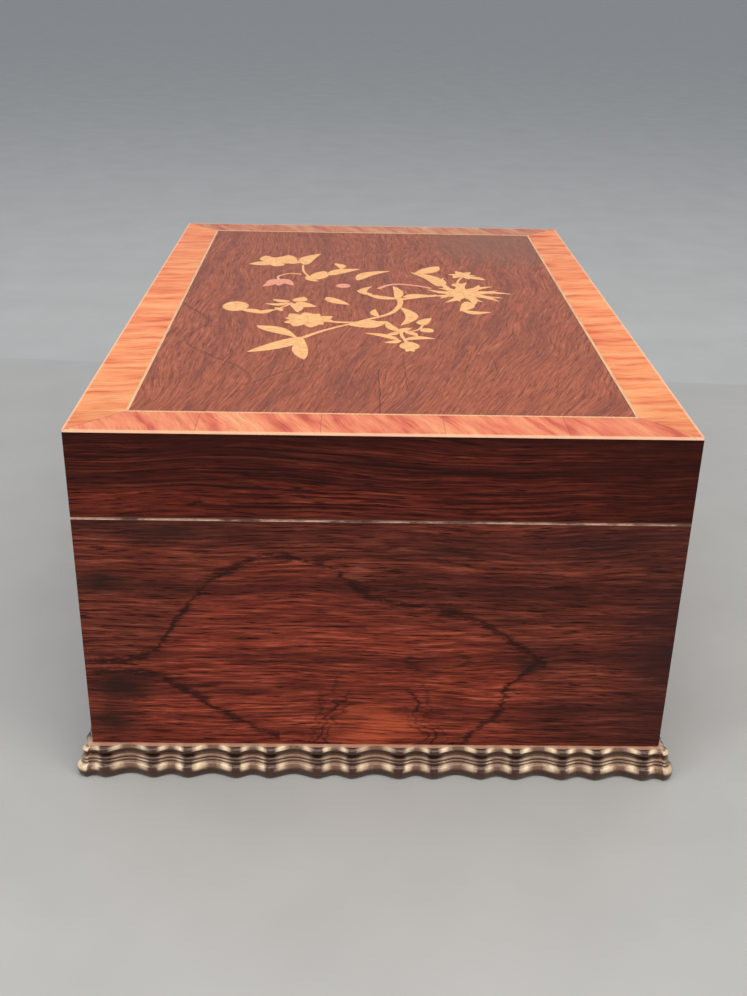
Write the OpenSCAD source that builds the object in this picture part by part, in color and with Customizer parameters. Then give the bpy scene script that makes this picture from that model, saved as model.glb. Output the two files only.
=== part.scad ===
// A lever-wound cylinder music box in a veneered case.
// X runs along the case, Y from front to back, Z up; the origin is the middle of the base.

/* [Case] */
// Length of the case and lid along X
case_length = 320; // [310:1:400]
// Depth of the case and lid from front to back
case_depth = 210; // [204:1:260]
// Height of the body above the plinth
body_height = 92; // [91:1:115]
// Thickness of the case walls
wall = 12; // [11:0.5:16]
// Height of the rippled plinth, and of the base board inside it
plinth_height = 12; // [10:0.5:18]
// How far the plinth stands out from the case
plinth_projection = 6; // [5:0.5:10]
// Length of one long and one short ripple together
ripple_length = 31; // [24:1:40]
// Depth of the long ripples
ripple_depth = 1.8; // [1:0.1:2.4]

/* [Lid] */
// Height of the lid with its veneer
lid_height = 32; // [28:1:45]
// Thickness of the board under the veneer
lid_board = 8; // [6:0.5:10]
// Thickness of the veneers
veneer = 0.8; // [0.6:0.1:1.5]
// Width of the crossbanding
band_width = 17.5; // [12:0.5:24]
// Width of the light stringing lines
string_width = 1; // [0.6:0.1:2]

/* [Movement] */
// Diameter of the pinned cylinder
cylinder_diameter = 40; // [36:0.5:42]
// Length of the pinned cylinder
cylinder_length = 126; // [100:1:128]
// Number of comb teeth
comb_teeth = 56; // [40:1:64]
// Outside diameter of the spring barrel
barrel_diameter = 42; // [36:1:44]
// Length of the winding lever from its arbor to its grip
lever_length = 60; // [45:1:62]
// Thickness of the brass bedplate
bedplate_thickness = 5; // [4:0.5:7]
// Sideways step of the cylinder from one tune to the next
tune_step = 0.4; // [0.3:0.05:0.45]
// Radial clearance of arbors in their bearings
running_gap = 0.05; // [0.03:0.01:0.09]

/* [Hidden] */
$fn = 64;

joint_gap = 0.1;      // between pieces that are glued end to end
lid_gap = 0.3;        // between the lid and the body when shut
fit_gap = 0.2;        // round fittings let into wood

// Heights
z_body = plinth_height;
z_seam = z_body + body_height;
z_lid = z_seam + lid_gap;
z_top = z_seam + lid_height;
z_veneer = z_top - veneer;
z_lid_inside = z_veneer - lid_board;

// Half sizes of the case, outside and inside
half_l = case_length / 2;
half_d = case_depth / 2;
in_l = half_l - wall;
in_d = half_d - wall;

// Corner pieces and edging
edging = 0.7;

// ---------- shapes that repeat ----------

// A cylinder along X, from x0 to x1
module x_rod(x0, x1, r, y = 0, z = 0) {
    translate([x0, y, z]) rotate([0, 90, 0]) cylinder(h = x1 - x0, r = r);
}

// A plate across X: its outline is drawn as (y, z)
module x_plate(x0, thickness) {
    translate([x0, 0, 0]) rotate([90, 0, 90]) linear_extrude(thickness) children();
}

// A box given by its lowest and highest corners
module box(low, high) {
    translate(low) cube(high - low);
}

// One mitred board along the front: outside length, width inwards, height
module mitred_board(length, width, height) {
    g = joint_gap / 2;
    linear_extrude(height) polygon([
        [-length / 2 + g, 0], [length / 2 - g, 0],
        [length / 2 - width - g, width], [-length / 2 + width + g, width]]);
}

// Puts a front board on side 0 (front), 1 (right), 2 (back) or 3 (left) of a rectangle
module on_side(side, l, d) {
    out = (side % 2 == 0) ? d / 2 : l / 2;
    rotate([0, 0, 90 * side]) translate([0, -out, 0]) children();
}

// Four mitred strips round a rectangle
module mitred_ring(l, d, width, height) {
    for (side = [0:3]) on_side(side, l, d)
        mitred_board(side % 2 == 0 ? l : d, width, height);
}

// A leaf, pointed at both ends, from the origin along +X
module leaf(length, width) {
    r = (length * length / 4 + width * width / 4) / width;
    intersection() {
        translate([length / 2, r - width / 2]) circle(r = r);
        translate([length / 2, width / 2 - r]) circle(r = r);
    }
}

// One gear tooth: places in pitches round the wheel, and in modules out from the pitch circle
gear_tooth = [[-0.3, -1.15], [-0.2, 0], [-0.09, 0.8], [0.09, 0.8], [0.2, 0], [0.3, -1.15]];

// A gear outline with a tooth in the direction of phase
function gear_outline(teeth, module_mm, phase) =
    let (pitch = 360 / teeth, r = teeth * module_mm / 2)
    [for (i = [0:teeth - 1], p = gear_tooth)
        let (a = phase + pitch * (i + p[0]), q = r + p[1] * module_mm)
        [q * cos(a), q * sin(a)]];

module gear(teeth, module_mm, phase, bore) {
    difference() {
        polygon(gear_outline(teeth, module_mm, phase));
        circle(r = bore);
    }
}

// A turned cheese-head screw, head at the origin and shank down
module screw(head_r, head_h, shank_r, shank_l) {
    translate([0, 0, -shank_l]) cylinder(h = shank_l + 0.01, r = shank_r);
    difference() {
        cylinder(h = head_h, r = head_r);
        translate([-head_r - 1, -head_r / 8, head_h * 0.55]) cube([2 * head_r + 2, head_r / 4, head_h]);
    }
}

// ---------- case ----------

screw_x = 96;
screw_y = 54;
screw_r = 2.4;
screw_head_r = 5;
screw_head_h = 2.6;
screw_recess = 4;
foot_r = 6.5;
movement_places = [for (x = [-screw_x, screw_x], y = [-screw_y, screw_y]) [x, y]];

module base_board() {
    color("tan") difference() {
        box([-half_l, -half_d, 0], [half_l, half_d, plinth_height]);
        for (p = movement_places) translate([p[0], p[1], 0]) {
            translate([0, 0, -1]) cylinder(h = plinth_height + 2, r = screw_r + fit_gap);
            translate([0, 0, -1]) cylinder(h = screw_recess + 1, r = screw_head_r + 0.6);
        }
    }
}

// Plan of one length of rippled moulding: crests, with long and short hollows between them
module ripple_plan(length, projection, depth) {
    periods = round((length + 2 * projection) / ripple_length);
    period = (length + 2 * projection) / periods;
    long = period * 0.61;
    crest = period * 0.1;
    difference() {
        polygon([[-length / 2, 0], [length / 2, 0],
                 [length / 2 + projection, -projection], [-length / 2 - projection, -projection]]);
        for (i = [0:periods - 1], part = [0, 1]) {
            width = (part == 0 ? long : period - long) - crest;
            sag = part == 0 ? depth : depth * 0.7;
            r = (width * width / 4 + sag * sag) / (2 * sag);
            at = -length / 2 - projection + i * period + (part == 0 ? long : long + period) / 2;
            translate([at, -projection - r + sag]) circle(r = r);
        }
    }
}

module ripple_plinth() {
    low_bead = plinth_height * 0.46;
    middle = plinth_height * 0.3;
    l = case_length + 2 * joint_gap;
    d = case_depth + 2 * joint_gap;
    color("saddlebrown") for (side = [0:3]) on_side(side, l, d) {
        length = (side % 2 == 0 ? case_length : case_depth) - joint_gap;
        linear_extrude(low_bead) ripple_plan(length, plinth_projection - joint_gap, ripple_depth);
        translate([0, 0, low_bead]) linear_extrude(middle)
            ripple_plan(length, plinth_projection * 0.72, ripple_depth * 0.9);
        translate([0, 0, low_bead + middle]) linear_extrude(plinth_height - low_bead - middle)
            ripple_plan(length, plinth_projection * 0.6, ripple_depth * 0.8);
    }
}

// One wall, with a rebate for the edging along its outer top edge
module case_wall(length) {
    difference() {
        mitred_board(length, wall, body_height);
        box([-length, -1, body_height - edging], [length, edging, body_height + 1]);
    }
}

lock_w = 50;
lock_h = 29;
lock_t = 8;
key_r = 2.1;
key_drop = 6;
key_z = z_seam - 17;
escutcheon_l = 22;
escutcheon_w = 12;
escutcheon_t = 0.8;

// The keyhole: a round with a slot under it, as an outline in X and Z about the key's centre
module keyhole() {
    circle(r = key_r);
    translate([-key_r * 0.45, -key_drop]) square([key_r * 0.9, key_drop]);
}

module y_cut(y0, y1) {
    translate([0, y1, 0]) rotate([90, 0, 0]) linear_extrude(y1 - y0) children();
}

module front_wall() {
    color("maroon") difference() {
        translate([0, -half_d, z_body]) case_wall(case_length);
        box([-lock_w / 2 - fit_gap, -in_d - lock_t - fit_gap, z_seam - lock_h - fit_gap],
            [lock_w / 2 + fit_gap, -in_d + 1, z_seam + 1]);
        translate([0, 0, key_z]) y_cut(-half_d - 1, -in_d) keyhole();
        translate([0, 0, key_z - key_drop / 3]) y_cut(-half_d - 1, -half_d + escutcheon_t)
            rotate(90) translate([-escutcheon_l / 2 - fit_gap, 0])
                leaf(escutcheon_l + 2 * fit_gap, escutcheon_w + 2 * fit_gap);
    }
}

// Butt hinges of the lid: the pin stands just behind the back of the case
hinge_len = 56;
hinge_x = half_l - 62;
pin_y = half_d + 1.5;
pin_z = z_seam + lid_gap / 2;
knuckle_r = 2.6;
hinge_pin_r = 1.2;
leaf_t = 1.5;
leaf_w = 10;
knuckles = 5;
knuckle_len = hinge_len / knuckles;

// Room for a knuckle in the wood at the back
module knuckle_room(z0, z1) {
    for (s = [-1, 1]) box(
        [s * hinge_x - hinge_len / 2 - fit_gap, pin_y - knuckle_r - fit_gap, z0],
        [s * hinge_x + hinge_len / 2 + fit_gap, half_d + 1, z1]);
}

module leaf_room(z0, z1) {
    for (s = [-1, 1]) box(
        [s * hinge_x - hinge_len / 2 - fit_gap, half_d - leaf_w - fit_gap, z0],
        [s * hinge_x + hinge_len / 2 + fit_gap, half_d + 1, z1]);
}

module back_wall() {
    color("maroon") difference() {
        translate([0, half_d, z_body]) rotate(180) case_wall(case_length);
        leaf_room(z_seam - leaf_t, z_seam + 1);
        knuckle_room(pin_z - knuckle_r - fit_gap, z_seam + 1);
    }
}

module left_wall() {
    color("maroon") translate([-half_l, 0, z_body]) rotate(-90) case_wall(case_depth);
}

module right_wall() {
    color("maroon") translate([half_l, 0, z_body]) rotate(90) case_wall(case_depth);
}

// Light wood along the arris: under the seam on the body, or over it on the lid
module edging_strips(z0) {
    color("khaki") difference() {
        translate([0, 0, z0]) mitred_ring(case_length, case_depth, edging - 0.02, edging - 0.02);
        leaf_room(z0 - 1, z0 + edging + 1);
    }
}

module case_edging() { edging_strips(z_seam - edging + 0.02); }

// Hinge leaf let into the wood, with its share of the knuckles
module hinge_leaves(z0, first) {
    for (s = [-1, 1]) translate([s * hinge_x - hinge_len / 2, 0, 0]) {
        difference() {
            union() {
                difference() {
                    box([0, half_d - leaf_w, z0], [hinge_len, pin_y, z0 + leaf_t - 0.05]);
                    for (i = [0:knuckles - 1]) if (i % 2 != first)
                        box([i * knuckle_len - fit_gap, pin_y - knuckle_r - fit_gap, z0 - 1],
                            [(i + 1) * knuckle_len + fit_gap, pin_y + 1, z0 + leaf_t + 1]);
                }
                for (i = [0:knuckles - 1]) if (i % 2 == first)
                    x_rod(i * knuckle_len + 0.1, (i + 1) * knuckle_len - 0.1, knuckle_r, pin_y, pin_z);
            }
            if (first == 1) x_rod(-1, hinge_len + 1, hinge_pin_r + running_gap, pin_y, pin_z);
        }
        if (first == 0) x_rod(0, hinge_len, hinge_pin_r, pin_y, pin_z);
    }
}

module case_hinge_leaves() { color("goldenrod") hinge_leaves(z_seam - leaf_t + 0.02, 0); }
module lid_hinge_leaves() { color("goldenrod") hinge_leaves(z_lid + 0.03, 1); }

lock_y = -in_d - lock_t / 2;

module case_lock() {
    color("goldenrod") difference() {
        box([-lock_w / 2, -in_d - lock_t, z_seam - lock_h], [lock_w / 2, -in_d, z_seam - 0.05]);
        // the room the bolt slides in, and the slots over it for the loops
        box([-bolt_l / 2 - 0.5, lock_y - bolt_t / 2 - 0.3, z_seam - bolt_drop - 0.3],
            [bolt_l / 2 + bolt_travel + 0.5, lock_y + bolt_t / 2 + 0.3, z_seam - 1.6]);
        for (s = [-1, 1]) box(
            [s * loop_x - loop_t / 2 - 0.5, lock_y - loop_w / 2 - 0.4, z_seam - loop_drop - 0.5],
            [s * loop_x + loop_t / 2 + 0.5, lock_y + loop_w / 2 + 0.4, z_seam + 1]);
        translate([0, 0, key_z]) y_cut(-half_d, lock_y) keyhole();
    }
}

module lock_bolt() {
    color("goldenrod") {
        box([-bolt_l / 2, lock_y - bolt_t / 2, z_seam - bolt_drop],
            [bolt_l / 2, lock_y + bolt_t / 2, z_seam - loop_drop - 1]);
        for (s = [-1, 1]) {
            end = s * loop_x - loop_t / 2 - 0.8;
            box([end - 5.6, lock_y - bolt_t / 2, z_seam - bolt_drop],
                [end - 3.6, lock_y + bolt_t / 2, z_seam - 2.6]);
            box([end - 5.6, lock_y - bolt_t / 2, z_seam - 4.6], [end, lock_y + bolt_t / 2, z_seam - 2.6]);
        }
    }
}

module escutcheon() {
    color("goldenrod") difference() {
        translate([0, 0, key_z - key_drop / 3]) y_cut(-half_d - 0.1, -half_d + escutcheon_t)
            rotate(90) translate([-escutcheon_l / 2, 0]) leaf(escutcheon_l, escutcheon_w);
        translate([0, 0, key_z]) y_cut(-half_d - 2, -in_d) keyhole();
    }
}

// Partitions, and the glass lid between them
partition = 6;
lever_bay = 34;
control_bay = 26;
bay_x0 = -in_l + lever_bay + partition;
bay_x1 = in_l - control_bay - partition;
z_glass = z_seam - 15;
glass_rail_h = 6;
glass_rail_w = 10;
glass_t = 2;
glass_gap = 0.5;
glass_back = in_d - 6;
glass_pin_y = glass_back - 3;
glass_pin_z = z_glass + glass_rail_h / 2;
glass_pin_r = 1.4;
glass_pin_in = 3;

module partition_board(x0) {
    box([x0, -in_d + fit_gap, z_body], [x0 + partition, in_d - fit_gap, z_glass + glass_rail_h]);
}

module lever_partition() {
    color("brown") difference() {
        partition_board(bay_x0 - partition);
        x_rod(bay_x0 - partition - 1, bay_x0 + 1, arbor_r + 2, barrel_y, axis_z);
        x_rod(bay_x0 - glass_pin_in, bay_x0 + 1, glass_pin_r, glass_pin_y, glass_pin_z);
    }
}

module control_partition() {
    color("brown") difference() {
        partition_board(bay_x1);
        for (c = [[change_y, change_z], [start_y, start_z]]) {
            box([bay_x1 - 1, c[0] - slot_half, c[1] - 1.5],
                [bay_x1 + partition + 1, c[0] + slot_half, c[1] + control_t + 1.5]);
            // groove that keeps clear of a pivot post that stands close
            translate([control_x, c[0], z_plate - 1])
                cylinder(h = c[1] + control_t + 3 - z_plate, r = control_cap_r + fit_gap);
        }
        x_rod(bay_x1 - 1, bay_x1 + glass_pin_in, glass_pin_r, glass_pin_y, glass_pin_z);
    }
}

module glass_pins() {
    reach = glass_gap + glass_pin_in;
    color("goldenrod") {
        x_rod(bay_x0 - glass_pin_in, bay_x0 + reach, glass_pin_r, glass_pin_y, glass_pin_z);
        x_rod(bay_x1 - reach, bay_x1 + glass_pin_in, glass_pin_r, glass_pin_y, glass_pin_z);
    }
}

module glass_ledge() {
    color("brown") box([bay_x0 + 1, -in_d, z_glass - 6], [bay_x1 - 1, -in_d + 5, z_glass - 0.3]);
}

glass_l = bay_x1 - bay_x0 - 2 * glass_gap;
glass_d = glass_back + in_d - 1;
glass_x = (bay_x0 + bay_x1) / 2;
glass_y = (glass_back - in_d + 1) / 2;

// The pane lies in a rebate: half its size each way, and the height it lies at
glass_lap = 4;
pane_x = glass_l / 2 - glass_rail_w + glass_lap;
pane_y = glass_d / 2 - glass_rail_w + glass_lap;
pane_z = z_glass + glass_rail_h - glass_t - 1;

module glass_frame() {
    color("saddlebrown") difference() {
        translate([glass_x, glass_y, z_glass]) mitred_ring(glass_l, glass_d, glass_rail_w, glass_rail_h);
        translate([glass_x, glass_y, pane_z])
            box([-pane_x - 0.1, -pane_y - 0.1, 0], [pane_x + 0.1, pane_y + 0.1, glass_t + 2]);
        x_rod(bay_x0, bay_x1, glass_pin_r + running_gap, glass_pin_y, glass_pin_z);
    }
}

module glass_pane() {
    color("lightcyan", 0.4) translate([glass_x, glass_y, pane_z])
        box([-pane_x, -pane_y, 0], [pane_x, pane_y, glass_t]);
}

module glass_pull() {
    color("goldenrod") translate([glass_x, glass_y - glass_d / 2 + 3, z_glass + glass_rail_h])
        rotate_extrude() polygon([
            [0, 0], [2.4, 0], [2.4, 0.6], [1.1, 1.2], [1.1, 2.4],
            [2.2, 3.4], [2.2, 4.4], [1.2, 5.2], [0, 5.2]]);
}

// ---------- lid ----------

module lid_panel() {
    l = in_l - fit_gap;
    d = in_d - fit_gap;
    color("peru") box([-l, -d, z_lid_inside], [l, d, z_veneer]);
}

module lid_frame() {
    color("maroon") difference() {
        translate([0, 0, z_lid]) mitred_ring(case_length, case_depth, wall, z_veneer - z_lid);
        difference() {
            box([-half_l - 1, -half_d - 1, z_lid - 1], [half_l + 1, half_d + 1, z_lid + edging]);
            box([-half_l + edging, -half_d + edging, z_lid - 2],
                [half_l - edging, half_d - edging, z_lid + edging + 1]);
        }
        leaf_room(z_lid - 1, z_lid + leaf_t);
        knuckle_room(z_lid - 1, pin_z + knuckle_r + fit_gap);
        box([-loop_plate / 2 - fit_gap, lock_y - 3.2, z_lid - 1],
            [loop_plate / 2 + fit_gap, lock_y + 3.2, z_lid + leaf_t]);
    }
}

module lid_edging() { edging_strips(z_lid); }

module crossbanding() {
    color("orange") translate([0, 0, z_veneer]) mitred_ring(case_length, case_depth, band_width, veneer);
}

module lid_stringing() {
    in = band_width + 0.02;
    color("khaki") translate([0, 0, z_veneer])
        mitred_ring(case_length - 2 * in, case_depth - 2 * in, string_width, veneer);
}

module field_veneer() {
    in = band_width + string_width + 0.04;
    color("sienna") translate([0, 0, z_veneer]) linear_extrude(veneer) difference() {
        square([case_length - 2 * in, case_depth - 2 * in], center = true);
        spray();
    }
}

module marquetry_spray() {
    color("wheat") translate([0, 0, z_veneer]) linear_extrude(veneer) spray();
}

leaf_facets = 6;

// The floral spray. Each leaf or petal is [x, y, angle, length, width] from its base.
spray_leaves = [
    [57, -31, 215, 23, 7.5], [57, -31, 332, 25, 8], [57, -31, 5, 28, 7],
    [-11, -17, 100, 13, 6], [2, -50, 100, 18, 3], [-2, -40, 45, 14, 6], [-4, -36, 350, 15, 5],
    [-3, -38, 250, 15, 3.5], [8, 9, 350, 28, 6], [-16, -3, 20, 14, 5], [-16, 0, 160, 17, 4],
    [-38, -30, 40, 14, 9], [-48, -24, 95, 19, 8], [-62, -22, 10, 16, 7], [-60, -8, 120, 19, 5],
    [-74, -31, 180, 22, 8], [-8, 2, 30, 17, 5], [-30, 24, 190, 26, 9], [-34, 31, 200, 24, 8],
    [-48, 22, 170, 20, 11], [-40, 42, 160, 18, 8], [-48, 46, 100, 10, 5],
    [14, 36, 20, 12, 7], [10, 44, 60, 12, 4], [54, -1, 60, 14, 3.5], [50, 11, 20, 12, 4],
    [44, 20, 160, 17, 5], [44, 23, 110, 10, 4], [30, 25, 175, 13, 5], [-6, 24, 215, 14, 5]];
// Round buds: [x, y, radius]
spray_buds = [[11, -63, 6.5], [66, 12, 5.5], [33, -4, 6], [17, -50, 4], [-42, -26, 5.5], [-29, -46, 4],
    [-25, -16, 3], [-26, -40, 3], [25, 24, 4], [-72, 24, 6], [-22, 50, 4]];
// Blooms: [x, y, petals, petal length, petal width, heart radius]
spray_blooms = [[31, -29, 11, 11.5, 5.5, 6], [-16, 41, 15, 19, 4.6, 7], [-74, -56, 6, 8, 6, 3.5],
    [-77, -45, 6, 9, 6, 3.5], [45, 10, 6, 9, 3.4, 2.4], [2, -36, 5, 8, 4, 3], [-29, -52, 5, 6, 3.4, 2.2]];
// Stems: each a line of points with its own width
spray_stems = [
    [[57, -31], [48, -21], [40, -13], [33, -4], [22, 4], [14, 9], [4, 11], [-4, 9]],
    [[31, -29], [33, -14], [33, -4]],
    [[-4, 9], [-10, 20], [-14, 34]],
    [[31, -29], [18, -36], [2, -36], [8, -50], [11, -63]],
    [[-38, -30], [-50, -34], [-62, -36], [-74, -45]],
    [[-38, -30], [-40, -40], [-34, -46], [-29, -50]],
    [[4, 11], [-8, 2], [-16, -3]],
    [[33, -4], [40, 4], [45, 10], [56, 12], [66, 12]],
    [[45, 10], [44, 20], [36, 24], [25, 24]],
    [[-14, 34], [-30, 26], [-48, 22], [-66, 23]],
    [[-14, 40], [-30, 40], [-46, 42]],
    [[-38, -30], [-28, -24], [-16, -17], [-8, 2]]];

module stem(points, width) {
    for (i = [0:len(points) - 2]) {
        a = points[i];
        d = points[i + 1] - a;
        translate(a) rotate(atan2(d[1], d[0])) translate([0, -width / 2]) square([norm(d), width]);
    }
    for (p = points) translate(p) rotate(11) circle(r = width * 0.53, $fn = 8);
}

// A knife-cut leaf with short straight facets, from the origin along +X
module cut_leaf(length, width) {
    polygon([for (t = [0:leaf_facets * 2 - 1]) let (a = 180 * t / leaf_facets)
        [length * (1 - cos(a)) / 2, -width / 2 * sin(a) * abs(sin(a))]]);
}

module bloom(petals, length, width, heart) {
    circle(r = heart, $fn = 12);
    for (i = [0:petals - 1]) rotate(360 * i / petals) cut_leaf(length, width);
}

module spray() {
    for (s = spray_stems) stem(s, 1.3);
    for (b = spray_buds) translate([b[0], b[1]]) circle(r = b[2], $fn = 12);
    for (b = spray_blooms) translate([b[0], b[1]]) rotate(7) bloom(b[2], b[3], b[4], b[5]);
    for (l = spray_leaves) translate([l[0], l[1]]) rotate(l[2])
        translate([-0.4, 0]) cut_leaf(l[3] + 0.4, l[4]);
}

card_l = 130;
card_d = 90;
card_t = 0.6;

module tune_card() {
    color("ivory") translate([-card_l / 2, -card_d / 2, z_lid_inside - card_t])
        cube([card_l, card_d, card_t]);
}

module card_tacks() {
    color("goldenrod") for (x = [-1, 1], y = [-1, 1])
        translate([x * (card_l / 2 - 4), y * (card_d / 2 - 4), z_lid_inside - card_t - 0.8])
            cylinder(h = 0.8, r = 1.8);
}

loop_plate = 44;
loop_x = 13;
loop_w = 4.6;
loop_t = 1.8;
loop_drop = 6.4;
bolt_l = 42;
bolt_t = 1.8;
bolt_drop = 11;
bolt_travel = 4;

module lock_loops() {
    color("goldenrod") {
        box([-loop_plate / 2, lock_y - 3, z_lid + 0.02], [loop_plate / 2, lock_y + 3, z_lid + leaf_t]);
        for (s = [-1, 1]) difference() {
            box([s * loop_x - loop_t / 2, lock_y - loop_w / 2, z_seam - loop_drop],
                [s * loop_x + loop_t / 2, lock_y + loop_w / 2, z_lid + 0.5]);
            box([s * loop_x - loop_t, lock_y - bolt_t / 2 - 0.4, z_seam - 5],
                [s * loop_x + loop_t, lock_y + bolt_t / 2 + 0.4, z_seam - 2.2]);
        }
    }
}

// ---------- movement ----------

foot_h = 12;
z_bed = z_body + foot_h;
z_plate = z_bed + bedplate_thickness;
bed_x0 = bay_x0 + 4;
bed_x1 = bay_x1 - 4;
bed_y0 = -64;
bed_y1 = 62;

// Arbors
axis_z = z_plate + 27;
cyl_r = cylinder_diameter / 2;
cyl_y = 4;
arbor_r = 4;
journal_r = 3;

// Gears: teeth and module, in mesh at rest
great_teeth = 60;
great_module = 0.8;
pinion_teeth = 15;
wheel_teeth = 80;
wheel_module = 0.6;
first_pinion = 10;
first_teeth = 54;
fine_module = 0.5;
second_pinion = 9;
worm_teeth = 24;

barrel_y = cyl_y + (great_teeth + pinion_teeth) * great_module / 2;
first_angle = -20;
first_reach = (wheel_teeth + first_pinion) * wheel_module / 2;
first_y = cyl_y + first_reach * cos(first_angle);
first_z = axis_z + first_reach * sin(first_angle);
second_angle = 50;
second_reach = (first_teeth + second_pinion) * fine_module / 2;
second_y = first_y + second_reach * cos(second_angle);
second_z = first_z + second_reach * sin(second_angle);

// Places along X, from the lever bay to the control bay
barrel_bridge_x = bay_x0 + 6;
bridge_t = 5;
ratchet_x = bay_x0 + 1.6;
ratchet_t = 2.4;
barrel_x0 = barrel_bridge_x + bridge_t + 3;
barrel_l = 32;
great_x = barrel_x0 + barrel_l;
great_t = 4;
centre_x = great_x + great_t + 3;
cyl_x0 = centre_x + bridge_t + 4;
cyl_x1 = cyl_x0 + cylinder_length;
wheel_x = cyl_x1 + 8;
wheel_t = 3;
gov_x = wheel_x + wheel_t + 2;
cheek_t = 2;
end_x = wheel_x + 10;

module bedplate() {
    color("gold") difference() {
        box([bed_x0, bed_y0, z_bed], [bed_x1, bed_y1, z_plate]);
        for (p = movement_places) translate([p[0], p[1], z_bed - 1]) cylinder(h = 4.5, r = screw_r);
    }
}

module bedplate_feet() {
    color("gold") for (p = movement_places) translate([p[0], p[1], z_body]) difference() {
        cylinder(h = foot_h, r = foot_r);
        translate([0, 0, -1]) cylinder(h = foot_h + 2, r = screw_r + fit_gap);
    }
}

module movement_screws() {
    color("silver") for (p = movement_places)
        translate([p[0], p[1], screw_recess]) mirror([0, 0, 1])
            screw(screw_head_r, screw_head_h, screw_r, z_bed + 3 - screw_recess);
}

// A bearing bridge: a plate across X with round heads over its bearings, on a foot towards +X
bridge_foot = 9;
bridge_foot_t = 3;
bridge_screw_in = 5;

module bridge(x0, t, ys, head_r, bore_r) {
    low = min(ys) - head_r;
    high = max(ys) + head_r;
    difference() {
        union() {
            x_plate(x0, t) {
                polygon([[low, z_plate], [high, z_plate], [high, axis_z], [low, axis_z]]);
                for (y = ys) translate([y, axis_z]) circle(r = head_r);
            }
            box([x0, low, z_plate], [x0 + t + bridge_foot, high, z_plate + bridge_foot_t]);
        }
        for (y = ys) x_rod(x0 - 1, x0 + t + 1, bore_r, y, axis_z);
        for (y = [low + bridge_screw_in, high - bridge_screw_in])
            translate([x0 + t + bridge_foot / 2, y, z_plate - 1]) cylinder(h = 5, r = 1.6);
    }
}

barrel_head = 12;
bridge_head = 11;
end_t = 4;

module barrel_bridge() {
    color("gold") bridge(barrel_bridge_x, bridge_t, [barrel_y], barrel_head, arbor_r + running_gap);
}

module centre_bridge() {
    color("gold") bridge(centre_x, bridge_t, [cyl_y, barrel_y], bridge_head, arbor_r + running_gap);
}

module end_bridge() {
    color("gold") bridge(end_x, end_t, [cyl_y], bridge_head, journal_r + running_gap);
}

// Two screws hold each bridge: [x, lowest y, highest y]
bridge_screw_rows = [
    [barrel_bridge_x + bridge_t, barrel_y - barrel_head, barrel_y + barrel_head],
    [centre_x + bridge_t, cyl_y - bridge_head, barrel_y + bridge_head],
    [end_x + end_t, cyl_y - bridge_head, cyl_y + bridge_head]];

module bridge_screws() {
    color("steelblue") for (row = bridge_screw_rows, y = [row[1] + bridge_screw_in, row[2] - bridge_screw_in])
        translate([row[0] + bridge_foot / 2, y, z_plate + bridge_foot_t]) screw(2.8, 1.8, 1.6, bridge_foot_t);
}

// ---------- comb ----------

pin_height = 0.8;
tip_gap = 0.4;
comb_tip_y = cyl_y - cyl_r - pin_height - tip_gap;
comb_root_y = comb_tip_y - 27;
comb_heel_y = comb_root_y - 17;
comb_pitch = cylinder_length / comb_teeth;
tooth_w = comb_pitch * 0.76;
comb_z = axis_z - 1.2;
tooth_t = 1.4;
heel_t = 4;
comb_screw_n = 7;
comb_screw_pitch = cylinder_length / comb_screw_n;

comb_screw_r = 1.8;
weights = round(comb_teeth * 0.45);

// The teeth get shorter towards the treble end
function slot_root(i) = comb_root_y + 9 * i / comb_teeth;
function tooth_x(i) = i * comb_pitch + (comb_pitch - tooth_w) / 2;

// Places of the screws along the heel of the comb
module comb_screw_places() {
    for (i = [0:comb_screw_n - 1])
        translate([cyl_x0 + (i + 0.5) * comb_screw_pitch, comb_heel_y + 7, comb_z]) rotate(25 * i) children();
}

module comb() {
    color("lightsteelblue") difference() {
        union() {
            translate([cyl_x0, 0, comb_z]) linear_extrude(tooth_t) polygon(concat(
                [[0, comb_heel_y]],
                [for (i = [0:comb_teeth - 1], p = [[0, slot_root(i)], [0, comb_tip_y],
                    [tooth_w, comb_tip_y], [tooth_w, slot_root(i)]]) [tooth_x(i) + p[0], p[1]]],
                [[cylinder_length, comb_heel_y]]));
            box([cyl_x0, comb_heel_y, comb_z], [cyl_x1, comb_root_y - 1, comb_z + heel_t]);
            // lead weights under the bass teeth
            for (i = [0:weights]) translate([cyl_x0 + tooth_x(i), 0, comb_z])
                box([0, comb_tip_y - 7 + i * 0.12, -6 + i * 0.2], [tooth_w, comb_tip_y - 1.6, 0.2]);
        }
        comb_screw_places() translate([0, 0, -1]) cylinder(h = heel_t + 2, r = comb_screw_r);
    }
}

module comb_base() {
    color("gold") difference() {
        box([cyl_x0 - 2, comb_heel_y - 2, z_plate], [cyl_x1 + 2, comb_root_y - 2, comb_z]);
        comb_screw_places() translate([0, 0, -8]) cylinder(h = 9, r = comb_screw_r - 0.2);
    }
}

module comb_screws() {
    color("steelblue") comb_screw_places() translate([0, 0, heel_t])
        screw(3.4, 2, comb_screw_r - 0.2, heel_t + 7.5);
}

// ---------- winding ----------

hub_x0 = bay_x0 - partition - 20;
hub_l = 10;
hub_r = 11;
lever_lean = 145;   // direction of the lever at rest, from +Y towards +Z
lever_t = 5;

module winding_lever() {
    color("gold") difference() {
        union() {
            x_rod(hub_x0, hub_x0 + hub_l, hub_r, barrel_y, axis_z);
            translate([0, barrel_y, axis_z]) rotate([lever_lean, 0, 0])
                x_plate(hub_x0 + (hub_l - lever_t) / 2, lever_t)
                    polygon([[0, -6], [lever_length - 4, -3.6], [lever_length - 4, 3.6], [0, 6]]);
        }
        x_rod(hub_x0 - 1, hub_x0 + hub_l + 1, arbor_r + running_gap, barrel_y, axis_z);
    }
}

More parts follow.
